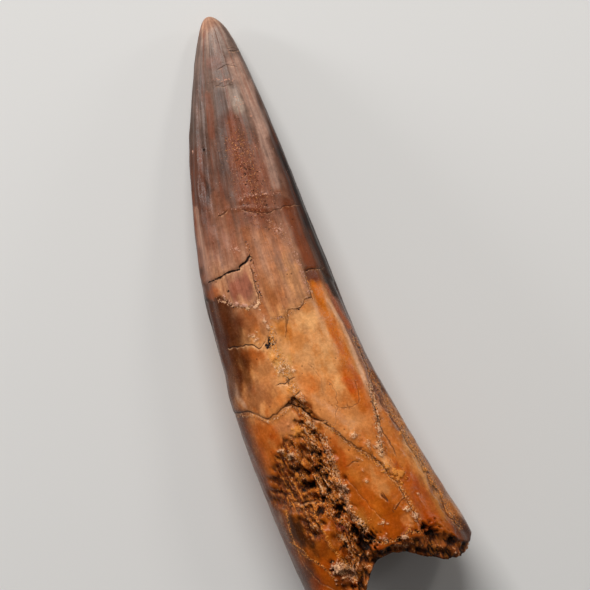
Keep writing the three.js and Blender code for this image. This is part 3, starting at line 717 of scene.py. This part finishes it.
class Skin:
    """The outer skin at arrays of angle and along: its places, relief and everything painted on it."""

    def __init__(self, angle, along):
        self.section = section_at(along)
        x, z, out = oval(self.section, angle, 1)
        self.across = x
        sine = np.sin(angle)
        self.face = smooth(-0.1, 0.25, sine)
        self.back = 1 - smooth(-0.35, 0, sine)
        self.painted = smooth(-0.3, 0.25, sine + 0.18 * ripples(43, (7, 9), GRAIN_WIDTH * angle, along))
        self.worn = np.zeros(x.shape)
        height = self.slow_relief(angle, along) + self.fine_relief(angle, along)
        self.place = np.stack([x + out[0] * height, -along, z + out[1] * height], axis=1)
        self.tint = self.colours(angle, along)

    def slow_relief(self, angle, along):
        """The relief that the solid has too, with softer borders here."""
        x, face, sine = self.across, self.face, np.sin(angle)
        height = SWELL * smooth(0, 10, along) * uneven(0.42 * x, 0.17 * along, 3 * sine)
        ribbed = smooth(8, 20, along) * (1 - smooth(45, 70, along))
        height += FLUTE_HEIGHT * ribbed * np.cos(FLUTE_COUNT * angle + 0.03 * along)
        for bed in (ERODED_BED, FIBRE_BED):
            cover, depth = bed_cover(bed, x, along)
            self.worn = np.maximum(self.worn, cover * face)
            height -= face * depth
        for bed in (SEAM_GROOVE, KEEL_GROOVE):
            height -= face * bed_cover(bed, x, along)[1]
        for ledge in LEDGES:
            height += face * ledge_height(ledge, x, along)
        self.pits = np.zeros(x.shape)
        for pit in BASE_PITS:
            cover = face * pit_cover(pit, x, along)
            self.pits = np.maximum(self.pits, cover)
            height -= pit[3] * cover
        trough = 0.75 * smooth(60, 92, along) * np.exp(-(((x - self.section["middle"]) / 4.6) ** 2))
        return height - smooth(0.2, 0.8, -sine) * trough

    def fine_relief(self, angle, along):
        x, face = self.across, self.face
        girth = GRAIN_WIDTH * angle
        blunt = smooth(0, 4, along)
        past_edge = along - enamel_edge(x) - 0.12 * ripples(11, (0.9, 0.9), x, along)
        bare_face = smooth(-0.18, 0.18, past_edge)
        bare_back = smooth(49, 53, along + 1.6 * uneven(x, 0, 2))
        self.enamel = 1 - np.where(face > 0.5, bare_face, bare_back)
        height = ENAMEL_STEP * self.enamel * smooth(40, 46, along)
        height += blunt * 0.01 * ripples(21, (1.2, 16), girth, along)
        height += blunt * 0.028 * ripples(22, (3.4, 5), girth, along)
        grainy = np.exp(-(((x + 1.6) / 3.4) ** 2)) * smooth(16, 23, along)
        grainy *= 1 - 0.7 * smooth(30, 44, along)
        height += face * grainy * 0.02 * ripples(23, (0.55, 0.6), x, along)
        self.grainy = grainy * face * self.enamel
        lean = x - 0.24 * along + 0.3 * ripples(30, (2.5, 6), x, along)
        fibres = 0.8 * ripples(31, (1.1, 9), lean, along) + 0.7 * ripples(34, (0.6, 4.5), lean, along)
        lumps = ripples(32, (1, 1.3), x, along)
        crumbs = ripples(33, (0.5, 0.6), x, along)
        self.torn = 0.7 * fibres + 0.25 * lumps + 0.2 * crumbs
        height += self.worn * (0.24 * fibres + 0.1 * lumps + 0.1 * crumbs)
        for pit in PITS:
            cover = face * pit_cover(pit, x, along)
            self.pits = np.maximum(self.pits, cover)
            height -= pit[3] * cover
        self.face_cracks = Cracks(FACE_CRACKS, x, along, face, 100)
        self.back_cracks = Cracks(BACK_CRACKS, x, along, self.back, 200)
        height -= self.face_cracks.groove + self.back_cracks.groove
        rise, self.lines = from_lines(FACE_RIDGES, x, along, face, 300)
        height += rise
        return height + self.lay_grain(along, crumbs)

    def lay_grain(self, along, crumbs):
        """The dark, pale and golden grains, and how high their crusts stand."""
        x, face = self.across, self.face
        face_bands = from_bands(GRAIN_BANDS, x, along, face)
        bands = np.maximum(face_bands, from_bands(BACK_BANDS, x, along, self.back))
        self.dark, self.pale, self.gold = bands
        self.rough_bands = bands.max(0)
        height = self.rough_bands * (0.1 * crumbs - 0.03)
        self.crust = np.zeros(x.shape)
        for crusts, field in ((PALE_CRUSTS, "pale"), (GOLD_CRUSTS, "gold")):
            for crust in crusts:
                cover = face * pit_cover(crust, x, along)
                setattr(self, field, np.maximum(getattr(self, field), crust[4] * cover))
                self.crust = np.maximum(self.crust, cover * smooth(0.03, 0.15, crust[3]))
                height += crust[3] * cover * (1 + 0.6 * crumbs)
        self.lay_worn_grain(along)
        return height

    def lay_worn_grain(self, along):
        """The grains of the worn hollow, the pits, the light raised lines (some of them painted highlights)
        and the crown's rough patch.
        """
        x = self.across
        clear = 1 - np.clip(1.4 * self.pits, 0, 1)
        strands = self.worn * clear * (1 - 0.5 * smooth(-8, -10.4, x))
        knots = smooth(0.1, 0.9, self.torn)
        deep = self.worn * smooth(72, 78, along) * np.exp(-(((x + 6.4) / 2.4) ** 2))
        self.pale = np.maximum(self.pale, self.lines * (0.4 + 0.6 * self.enamel))
        self.gold = np.maximum(self.gold, 0.8 * self.lines * (1 - self.enamel))
        # Pale and golden grains gather on the high parts of the worn hollow's relief: grain with painted
        # light.
        self.pale = np.maximum(self.pale, strands * (0.28 + 0.3 * knots))
        self.gold = np.maximum(self.gold, np.maximum(0.3 * self.grainy, strands * (0.36 + 0.25 * knots)))
        # Dark grains over the worn hollow thicken on the low parts of its relief and down its deepest
        # column: specks with painted shade.
        dark_specks_and_low_shade = self.worn * (0.1 + 0.24 * smooth(0, 0.9, -self.torn)) + 0.26 * deep
        self.dark = np.maximum(self.dark, dark_specks_and_low_shade)
        self.dark = np.maximum(self.dark, np.maximum(0.75 * self.pits, 0.3 * self.grainy))
        self.pale = np.maximum(self.pale, 0.16 * self.grainy + 0.08 * self.enamel)

    def colours(self, angle, along):
        x, girth = self.across, GRAIN_WIDTH * angle
        side = np.abs(np.cos(angle)) + 0.04 * ripples(42, (9, 6), girth, along)
        drawn = along + 2.5 * ripples(41, (5, 14), girth, along)
        # Towards the silhouettes the ground turns to its darker outer colour: painted shade.
        tint = ground_colour(drawn, smooth(0.72, 0.98, side))
        crown, body = self.painted * self.enamel, self.painted * (1 - self.enamel)
        tint = lay_patches(tint, ENAMEL_PATCHES, x, along, crown, 400)
        tint = lay_streaks(tint, ENAMEL_STREAKS, x, along, crown, 450)
        tint = lay_patches(tint, BODY_PATCHES, x, along, body, 500)
        tint = lay_streaks(tint, BODY_STREAKS, x, along, body, 650)
        tint = lay_patches(tint, BACK_PATCHES, x, along, self.back, 700)
        return self.worn_colours(tint, along)

    def worn_colours(self, tint, along):
        """The tint with the colours of the worn hollow, the grain, the pits and the crusts."""
        x = self.across
        worn = smooth(0.15, 0.6, self.worn)
        # In the worn hollow the colour follows the torn relief: umber on its low parts, deep orange, orange
        # and tan towards its high parts. This is painted shade and painted light.
        tint = lay(tint, UMBER, 0.6 * worn * smooth(0.1, 0.9, -self.torn))
        tint = lay(tint, DEEP_ORANGE, 0.8 * worn * smooth(-0.6, 0.1, self.torn))
        tint = lay(tint, ORANGE, 0.6 * worn * smooth(0.2, 0.8, self.torn))
        tint = lay(tint, UMBER, 0.6 * worn * smooth(-8, -10.4, x))
        tint = lay_patches(tint, WORN_PATCHES, x, along, self.painted, 800)
        tint = lay(tint, TAN, 0.5 * worn * smooth(0.7, 1.3, self.torn))
        tint = lay(tint, GRAIN_BROWN, 0.4 * self.rough_bands)
        tint = lay(tint, BLACK_BROWN, 0.8 * self.pits)
        return lay(tint, ROSE, 0.55 * self.crust * np.clip(self.pale, 0, 1))


def rim_along(angle):
    """How far from the tip the outer skin ends."""
    return rim_at(np.degrees(angle)) + RIM_FRAY * fray(angle, 1)


def broken_face(angle, share, lip_place):
    """Places on the broken thickness. The share goes from 0 at the skin's rim to 1 at the inner lip."""
    rim_place = Skin(angle, rim_along(angle)).place
    lumps = BROKEN_LUMPS * np.sin(math.pi * share)
    outwards = lumps * fray(angle, 9 * share)
    endwards = lumps * fray(angle, 3 + 7 * share)
    push = np.stack([outwards * np.cos(angle), -endwards, outwards * np.sin(angle)], axis=1)
    return rim_place + (lip_place - rim_place) * share[:, None] + push


def cavity_wall(angle, depth, lip, section):
    """Places in the pulp cavity. The depth goes from 0 at the lip to 1 at the cavity's point."""
    mouth = smooth(0, 0.08, depth)
    mouth_size = CAVITY_MOUTH_SIZE * (1 + 0.035 * fray(angle, 5 * depth))
    size = LIP_SIZE + (mouth_size - LIP_SIZE) * mouth
    x, z, _ = oval(section, angle, size * np.sqrt(1 - depth ** 2.2))
    along = lip - CAVITY_SHOULDER * mouth - CAVITY_DEPTH * depth
    slide = depth ** 1.5
    x = x + slide * (CAVITY_POINT[0] - section["middle"])
    along = along + slide * (CAVITY_POINT[1] - along)
    z = z + slide * (CAVITY_POINT[2] - section["waist"])
    return np.stack([x, -along, z], axis=1)


def broken_paint(coarse, fine, depth):
    """The tint and the dark and pale covers of the broken root. Deeper into the pulp cavity it darkens and
    its tan and pale grains fade: painted shade.
    """
    tint = np.tile(UMBER, (len(depth), 1))
    tint = lay(tint, BROKEN_TAN, 0.7 * smooth(-0.5, 0.7, coarse) * (1 - depth))
    tint = lay(tint, BLACK_BROWN, 0.75 * smooth(0.1, 1, -coarse))
    dark = 0.15 + 0.3 * smooth(-0.4, 0.8, -coarse) + 0.3 * depth
    pale = 0.45 * smooth(0, 1.2, coarse + 0.6 * fine) * (1 - depth)
    return tint, dark, pale


def broken_root(angle, ring):
    """Places, tint and covers of the broken thickness and the cavity, at arrays of angle and ring."""
    share = np.clip((ring - RIM_RING) / BREAK_RINGS, 0, 1)
    depth = np.clip((ring - LIP_RING) / CAVITY_RINGS, 0, 1)
    inside = ring > LIP_RING
    lip = np.minimum(lip_at(np.degrees(angle)) + LIP_FRAY * fray(angle, 6), LENGTH)
    section = section_at(lip)
    lip_x, lip_z, _ = oval(section, angle, LIP_SIZE)
    edge = broken_face(angle, share, np.stack([lip_x, -lip, lip_z], axis=1))
    place = np.where(inside[:, None], cavity_wall(angle, depth, lip, section), edge)

    coarse = ripples(51, (2.2, 2.2, 2.2), *place.T)
    fine = ripples(52, (0.8, 0.8, 0.8), *place.T)
    sideways = place[:, 0] - section["middle"]
    endwards = -1.2 * np.abs(sideways) * (1 - depth)
    heading = np.stack([sideways, endwards, place[:, 2] - section["waist"]], axis=1)
    heading /= np.linalg.norm(heading, axis=1)[:, None] + 1e-9
    fade = smooth(0, 0.3, share) * (1 - smooth(0.85, 1, depth)) * np.where(inside, -1, 1)
    place = place + heading * ((0.22 * coarse + 0.16 * fine) * fade)[:, None]
    return (place,) + broken_paint(coarse, fine, depth)


def ring_of(share):
    return share * SHEET_RINGS


def skin_share(ring):
    """The share of the way from the tip to the rim that a ring of the skin lies at."""
    tip = TIP_REACH * (ring / TIP_RINGS) ** 2
    crown = np.clip((ring - TIP_RINGS) / (RIM_RING - TIP_RINGS), 0, 1)
    return np.where(ring <= TIP_RINGS, tip, TIP_REACH + (1 - TIP_REACH) * crown ** ROOT_BIAS)


def angle_of(share):
    phase = 2 * math.pi * (share - 0.5)
    return math.pi / 2 - phase + FACE_BIAS * np.sin(phase)


def tooth_surface(u, v):
    """Places in millimetres and painted values for arrays of the sheet's own shares."""
    angle = angle_of(u)
    ring = ring_of(v)
    outer = ring <= RIM_RING + 0.5
    rim = rim_along(angle[outer])
    along = skin_share(ring[outer]) * rim
    skin = Skin(angle[outer], along)
    root_place, root_tint, root_dark, root_pale = broken_root(angle[~outer], ring[~outer])
    worn = np.clip(0.9 * skin.worn + 0.8 * skin.crust + 0.8 * skin.pits + 0.6 * skin.rough_bands, 0, 1)
    edge = 0.5 * smooth(-1.4, 0, along - rim)
    front = np.abs(skin.face_cracks.ratio) <= np.abs(skin.back_cracks.ratio)

    def whole(on_skin, on_root):
        values = np.empty((len(u),) + np.shape(on_skin)[1:])
        values[outer], values[~outer] = on_skin, on_root
        return values

    return {
        "place": whole(skin.place, root_place),
        "tint": np.clip(whole(skin.tint, root_tint), 0, 1),
        "rough": whole(np.maximum(worn, edge), 1),
        "strands": whole(skin.worn, 0.5),
        "crack": whole(np.where(front, skin.face_cracks.ratio, skin.back_cracks.ratio), 9),
        "crack_dark": whole(np.maximum(skin.face_cracks.near, skin.back_cracks.near), 0),
        "dark": whole(skin.dark, root_dark),
        "pale": whole(skin.pale, root_pale),
        "gold": whole(skin.gold, 0.6 * root_pale),
        "enamel": whole(skin.enamel, 0),
    }


def read_floats(layer, name, width):
    values = np.empty(len(layer) * width)
    layer.foreach_get(name, values)
    return values.reshape(-1, width)


def rolled_sheet():
    """A flat grid whose places become the tooth's skin, with the grain's directions as its UV map."""
    sheet = bmesh.new()
    sheet.loops.layers.uv.new("grain")
    bmesh.ops.create_grid(sheet, x_segments=SHEET_COLUMNS, y_segments=SHEET_RINGS, size=0.5, calc_uvs=True)
    mesh = bpy.data.meshes.new("tooth_skin")
    sheet.to_mesh(mesh)
    sheet.free()
    flat = read_floats(mesh.vertices, "co", 3)
    made = tooth_surface(flat[:, 0] + 0.5, flat[:, 1] + 0.5)
    mesh.vertices.foreach_set("co", made["place"].ravel())
    for name in ("rough", "strands", "crack", "crack_dark", "dark", "pale", "gold", "enamel"):
        mesh.attributes.new(name, "FLOAT", "POINT").data.foreach_set("value", made[name].astype(float))
    tint = np.column_stack([made["tint"], np.ones(len(flat))])
    mesh.attributes.new("tint", "FLOAT_COLOR", "POINT").data.foreach_set("color", tint.ravel())
    grain = mesh.uv_layers["grain"].data
    shares = read_floats(grain, "uv", 2)
    girth = GRAIN_WIDTH * angle_of(shares[:, 0])
    ring = ring_of(shares[:, 1])
    along = LENGTH * np.where(ring <= RIM_RING, skin_share(ring), ring / RIM_RING)
    grain.foreach_set("uv", np.column_stack([girth, along]).ravel())
    return mesh


SEAM_GAP = 2e-4  # millimetres within which the sheet's edges count as one
SLIVER = 1e-5  # millimetres, the length under which an edge is dissolved


def close_skin(mesh):
    """Joins the sheet's long sides, gathers each end in a point and turns the faces outwards."""
    skin = bmesh.new()
    skin.from_mesh(mesh)
    bmesh.ops.remove_doubles(skin, verts=skin.verts, dist=SEAM_GAP)
    bmesh.ops.dissolve_degenerate(skin, edges=skin.edges, dist=SLIVER)
    bmesh.ops.recalc_face_normals(skin, faces=skin.faces)
    for face in skin.faces:
        face.smooth = True
    skin.to_mesh(mesh)
    skin.free()


def set_in_place(mesh):
    """Scales the mesh to metres and centres it in the solid's box, with its foot on the ground."""
    low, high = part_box("tooth")
    co = read_floats(mesh.vertices, "co", 3)
    least, most = co.min(0), co.max(0)
    middle = (low + high) / 2
    shift = np.array([middle.x - MM * (least[0] + most[0]) / 2, middle.y - MM * (least[1] + most[1]) / 2,
                      low.z - MM * least[2]])
    mesh.vertices.foreach_set("co", (co * MM + shift).ravel())
    mesh.update()


class Nodes:
    """Short ways to add and join the nodes of one material."""

    def __init__(self, material):
        material.use_nodes = True
        self.tree = material.node_tree
        self.shader = self.tree.nodes["Principled BSDF"]

    def add(self, kind, inputs=(), **settings):
        node = self.tree.nodes.new(kind)
        for name, value in settings.items():
            setattr(node, name, value)
        for name, value in dict(inputs).items():
            self.put(node.inputs[name], value)
        return node

    def put(self, socket, value):
        if isinstance(value, bpy.types.NodeSocket):
            self.tree.links.new(value, socket)
        else:
            socket.default_value = value

    def value(self, name):
        return self.add("ShaderNodeAttribute", attribute_name=name).outputs["Fac"]

    def maths(self, operation, first, second=0.0, clamp=False):
        inputs = {0: first, 1: second}
        return self.add("ShaderNodeMath", inputs, operation=operation, use_clamp=clamp).outputs[0]

    def plus(self, first, second):
        return self.maths("ADD", first, second)

    def less(self, first, second):
        return self.maths("SUBTRACT", first, second)

    def times(self, first, second):
        return self.maths("MULTIPLY", first, second)

    def ramp(self, value, start, end, low=0.0, high=1.0):
        inputs = {"Value": value, "From Min": start, "From Max": end, "To Min": low, "To Max": high}
        return self.add("ShaderNodeMapRange", inputs, interpolation_type="SMOOTHSTEP").outputs["Result"]

    def mix(self, share, first, second, blend="MIX"):
        node = self.add("ShaderNodeMix", data_type="RGBA", blend_type=blend)
        self.put(node.inputs["Factor"], share)
        self.put(node.inputs[6], first)
        self.put(node.inputs[7], second)
        return node.outputs[2]

    def stretched(self, vector, scale):
        return self.add("ShaderNodeMapping", {"Vector": vector, "Scale": scale}).outputs["Vector"]

    def noise(self, vector, scale, detail=3.0, roughness=0.55):
        inputs = {"Vector": vector, "Scale": scale, "Detail": detail, "Roughness": roughness}
        return self.add("ShaderNodeTexNoise", inputs).outputs["Fac"]

    def turned(self, vector, angle):
        return self.add("ShaderNodeMapping", {"Vector": vector, "Rotation": (0, 0, angle)}).outputs["Vector"]

    def grains(self, below, noise, cover, tone):
        """Lays crisp grains of one colour where the noise and the painted cover are high enough."""
        level = self.plus(noise, self.times(cover, 0.46))
        share = self.ramp(level, 0.72, 0.79)
        return self.mix(share, below, tone), share

    def cells(self, vector, scale, feature="F1"):
        inputs = {"Vector": vector, "Scale": scale}
        return self.add("ShaderNodeTexVoronoi", inputs, feature=feature).outputs["Distance"]


def colour(linear):
    return (float(linear[0]), float(linear[1]), float(linear[2]), 1.0)


SPECULAR_LEVEL = 0.2
BUMP_DEPTH = 0.15 * MM


class FossilFinish(Nodes):
    """Polished fossil enamel and dentine: streaks down the grain, specks, sharp cracks and gloss."""

    def __init__(self, material):
        super().__init__(material)
        place = self.add("ShaderNodeTexCoord").outputs["Object"]
        self.millimetres = self.stretched(place, (1 / MM, 1 / MM, 1 / MM))
        self.grain = self.add("ShaderNodeUVMap", uv_map="grain").outputs["UV"]
        self.rough = self.value("rough")
        self.enamel = self.value("enamel")
        self.strands = self.value("strands")
        self.fine_streaks = self.noise(self.stretched(self.grain, (5.0, 0.22, 1)), 1.0, 3.0)
        self.blotches = self.noise(self.millimetres, 0.55, 4.0, 0.6)
        self.mottle = self.noise(self.millimetres, 1.9, 4.0, 0.65)
        self.grit = self.noise(self.millimetres, 3.3, 3.0, 0.6)
        painted = self.fibres(self.stained(self.shaded()))
        painted = self.cracked(self.speckled(painted))
        self.put(self.shader.inputs["Base Color"], painted)
        self.put(self.shader.inputs["Roughness"], self.dulled())
        self.shader.inputs["Specular IOR Level"].default_value = SPECULAR_LEVEL
        self.put(self.shader.inputs["Normal"], self.bumped())

    def shaded(self):
        """The painted tint, lighter and darker down the enamel's grain and in soft blotches."""
        streaks = self.noise(self.stretched(self.grain, (1.5, 0.07, 1)), 1.0, 4.0)
        wide = self.times(self.ramp(streaks, 0.3, 0.72, -0.1, 0.1), self.enamel)
        narrow = self.times(self.ramp(self.fine_streaks, 0.3, 0.7, -0.09, 0.09), self.enamel)
        shade = self.plus(self.plus(wide, narrow), self.ramp(self.blotches, 0.3, 0.7, 0.86, 1.12))
        shade = self.times(shade, self.ramp(self.mottle, 0.3, 0.7, 0.88, 1.1))
        tint = self.add("ShaderNodeAttribute", attribute_name="tint").outputs["Color"]
        return self.add("ShaderNodeVectorMath", {0: tint, "Scale": shade}, operation="SCALE").outputs[0]

    def stained(self, painted):
        """Rusty and grey veins down the enamel, and brown stains on the bare dentine."""
        veins = self.noise(self.stretched(self.grain, (0.85, 0.05, 1)), 1.0, 5.0, 0.62)
        rusty = self.times(self.enamel, self.ramp(veins, 0.5, 0.66, 0.0, 0.4))
        painted = self.mix(rusty, painted, colour(RUST))
        greyed = self.times(self.enamel, self.ramp(veins, 0.34, 0.46, 0.3, 0.0))
        painted = self.mix(greyed, painted, colour(PLUM_GREY))
        stain = self.noise(self.stretched(self.millimetres, (0.5, 0.24, 0.5)), 1.0, 5.0, 0.6)
        browned = self.times(self.less(1.0, self.enamel), self.ramp(stain, 0.46, 0.64, 0.0, 0.6))
        return self.mix(browned, painted, DENTINE_STAIN, "MULTIPLY")

    def fibres(self, painted):
        """The worn hollow's leaning fibres: painted light on their raised backs, and painted shade between
        them and in the gaps between knobs, where the bump is low.
        """
        leaning = self.turned(self.millimetres, STRAND_TURN)
        self.strand = self.noise(self.stretched(leaning, (2.4, 0.42, 1)), 1.0, 4.0, 0.6)
        shadow = self.times(self.strands, self.ramp(self.strand, 0.34, 0.44, 0.7, 0.0))
        painted = self.mix(shadow, painted, colour(SOOT_BROWN))
        raised = self.times(self.strands, self.ramp(self.strand, 0.5, 0.6, 0.0, 0.8))
        painted = self.mix(raised, painted, colour(STRAND_TAN))
        self.knobs = self.cells(self.stretched(self.millimetres, (1, 0.8, 1)), 1.5)
        gap_shade = self.times(self.strands, self.ramp(self.knobs, 0.48, 0.68, 0.0, 0.5))
        return self.mix(gap_shade, painted, colour(SOOT_BROWN))

    def speckled(self, painted):
        """Dark, golden and pale grains where they are painted, and a few dark dots."""
        soot = self.noise(self.millimetres, 2.7, 3.0, 0.62)
        glint = self.noise(self.millimetres, 4.1, 2.0, 0.5)
        brass = self.mix(self.enamel, colour(GOLD), colour(BRASS))
        chalk = self.mix(self.ramp(self.blotches, 0.42, 0.58), colour(PINK_CREAM), colour(CREAM))
        chalk = self.mix(self.enamel, chalk, colour(DUSTY_PINK))
        painted, self.dark = self.grains(painted, soot, self.value("dark"), colour(SOOT_BROWN))
        painted, self.gold = self.grains(painted, glint, self.value("gold"), brass)
        painted, self.pale = self.grains(painted, self.grit, self.value("pale"), chalk)
        dots = self.less(1.0, self.ramp(self.cells(self.millimetres, 0.7), 0.07, 0.14))
        dots = self.times(dots, self.ramp(self.blotches, 0.48, 0.6, 0.0, 0.6))
        return self.mix(dots, painted, colour(DARK_BROWN))

    def cracked(self, painted):
        """Dark crack lines of uneven width, each with a broken pale lip on one side, a painted highlight of
        the groove's lit lower wall.
        """
        crack = self.plus(self.value("crack"), self.times(self.less(self.grit, 0.5), 2.2))
        cover = self.value("crack_dark")
        width = self.ramp(self.noise(self.millimetres, 0.9, 2.0), 0.35, 0.65, 0.45, 1.5)
        off = self.maths("DIVIDE", self.maths("ABSOLUTE", crack), width)
        self.line = self.maths("MULTIPLY", self.less(1.0, self.ramp(off, 0.6, 1.2)), cover, clamp=True)
        # The pale lip on one side of the line is a painted highlight.
        lip = self.times(self.ramp(crack, 1.1, 1.8), self.ramp(crack, 2.6, 4.2, 1.0, 0.0))
        broken = self.times(cover, self.ramp(self.mottle, 0.42, 0.6, 0.05, 0.55))
        lip = self.maths("MULTIPLY", lip, broken, clamp=True)
        painted = self.mix(lip, painted, colour(CREAM))
        return self.mix(self.line, painted, colour(SOOT_BROWN))

    def dulled(self):
        """The roughness: polished on the dentine, duller on the enamel, the grain and the cracks."""
        dull = self.ramp(self.rough, 0.0, 1.0, 0.24, 0.44)
        dull = self.plus(dull, self.ramp(self.mottle, 0.3, 0.7, -0.05, 0.08))
        dull = self.plus(dull, self.times(self.enamel, 0.08))
        return self.maths("ADD", dull, self.times(self.line, 0.3), clamp=True)

    def bumped(self):
        """The relief that is too fine for the mesh."""
        crumbs = self.noise(self.millimetres, 5.0, 4.0, 0.65)
        height = self.plus(self.times(self.fine_streaks, 0.15), self.times(self.mottle, 0.2))
        height = self.plus(height, self.times(crumbs, self.ramp(self.rough, 0.0, 1.0, 0.12, 2.0)))
        height = self.plus(height, self.times(self.strand, self.times(self.strands, 3.0)))
        height = self.less(height, self.times(self.knobs, self.times(self.strands, 2.2)))
        height = self.plus(height, self.times(self.pale, 0.5))
        height = self.plus(height, self.times(self.gold, 0.3))
        height = self.less(height, self.times(self.dark, 0.6))
        height = self.less(height, self.times(self.line, 1.2))
        bump = self.add("ShaderNodeBump", {"Height": height, "Strength": 0.6, "Distance": BUMP_DEPTH})
        return bump.outputs["Normal"]


def fossil_finish():
    material = bpy.data.materials.new("fossil_enamel")
    FossilFinish(material)
    return material


def make_tooth():
    mesh = rolled_sheet()
    close_skin(mesh)
    set_in_place(mesh)
    mesh.materials.append(fossil_finish())
    tooth = bpy.data.objects.new("tooth_skin", mesh)
    bpy.context.scene.collection.objects.link(tooth)
    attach(tooth, "root")
    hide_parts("tooth")


FLOOR_SIDE = 3.0
LENS = 300
SENSOR = 36
FIELD = 0.1003  # width that the camera sees at the tooth's waist, in metres
VIEW_TURN = math.radians(-18)
VIEW_CENTRE = (0.00002, 0.00199)
WAIST_HEIGHT = 0.0095


def make_floor():
    floor = bmesh.new()
    bmesh.ops.create_grid(floor, x_segments=2, y_segments=2, size=FLOOR_SIDE / 2)
    mesh = bpy.data.meshes.new("floor")
    floor.to_mesh(mesh)
    floor.free()
    material = bpy.data.materials.new("pale_floor")
    n = Nodes(material)
    n.shader.inputs["Base Color"].default_value = (0.68, 0.68, 0.68, 1)
    n.shader.inputs["Roughness"].default_value = 0.9
    mesh.materials.append(material)
    ground = bpy.data.objects.new("floor", mesh)
    ground.location.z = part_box("tooth")[0].z - 0.00002
    bpy.context.scene.collection.objects.link(ground)


def make_light(name, where, aim, size, power, tone=(1, 1, 1)):
    lamp = bpy.data.lights.new(name, "AREA")
    lamp.shape = "RECTANGLE"
    lamp.size, lamp.size_y = size
    lamp.energy = power
    lamp.color = tone
    holder = bpy.data.objects.new(name, lamp)
    way = Vector(aim) - Vector(where)
    holder.rotation_euler = way.to_track_quat("-Z", "Y").to_euler()
    holder.location = where
    bpy.context.scene.collection.objects.link(holder)


def in_view(right, up, height):
    """A place round the tooth, given by the camera's own right and up."""
    c, s = math.cos(VIEW_TURN), math.sin(VIEW_TURN)
    return (right * c - up * s, right * s + up * c, height)


def make_lights():
    make_light("key", in_view(-0.25, 0.85, 0.8), (0, 0, 0), (0.8, 0.5), 12.9, (1, 0.98, 0.95))
    make_light("sheen", in_view(0.45, 0.62, 0.55), (0, 0, 0.01), (0.1, 0.2), 0.8, (1, 0.96, 0.9))
    make_light("right_strip", in_view(0.7, 0.34, 0.2), (0, 0, 0.01), (0.1, 0.22), 0.6)
    make_light("left_strip", in_view(-0.7, 0.25, 0.14), (0, 0, 0.01), (0.12, 0.24), 1.9)
    world = bpy.data.worlds.new("studio")
    world.use_nodes = True
    background = world.node_tree.nodes["Background"]
    background.inputs["Color"].default_value = (1, 0.97, 0.93, 1)
    background.inputs["Strength"].default_value = 0.14
    bpy.context.scene.world = world


def make_camera():
    lens = bpy.data.cameras.new("camera")
    lens.lens = LENS
    lens.sensor_width = SENSOR
    lens.clip_start = 0.01
    camera = bpy.data.objects.new("camera", lens)
    height = WAIST_HEIGHT + FIELD * LENS / SENSOR
    camera.location = (VIEW_CENTRE[0], VIEW_CENTRE[1], height)
    camera.rotation_euler = (0, 0, VIEW_TURN)
    bpy.context.scene.collection.objects.link(camera)
    bpy.context.scene.camera = camera


def make_view():
    settings = bpy.context.scene.view_settings
    settings.view_transform = "Standard"
    settings.look = "Medium High Contrast"


make_camera()
make_tooth()
make_floor()
make_lights()
make_view()
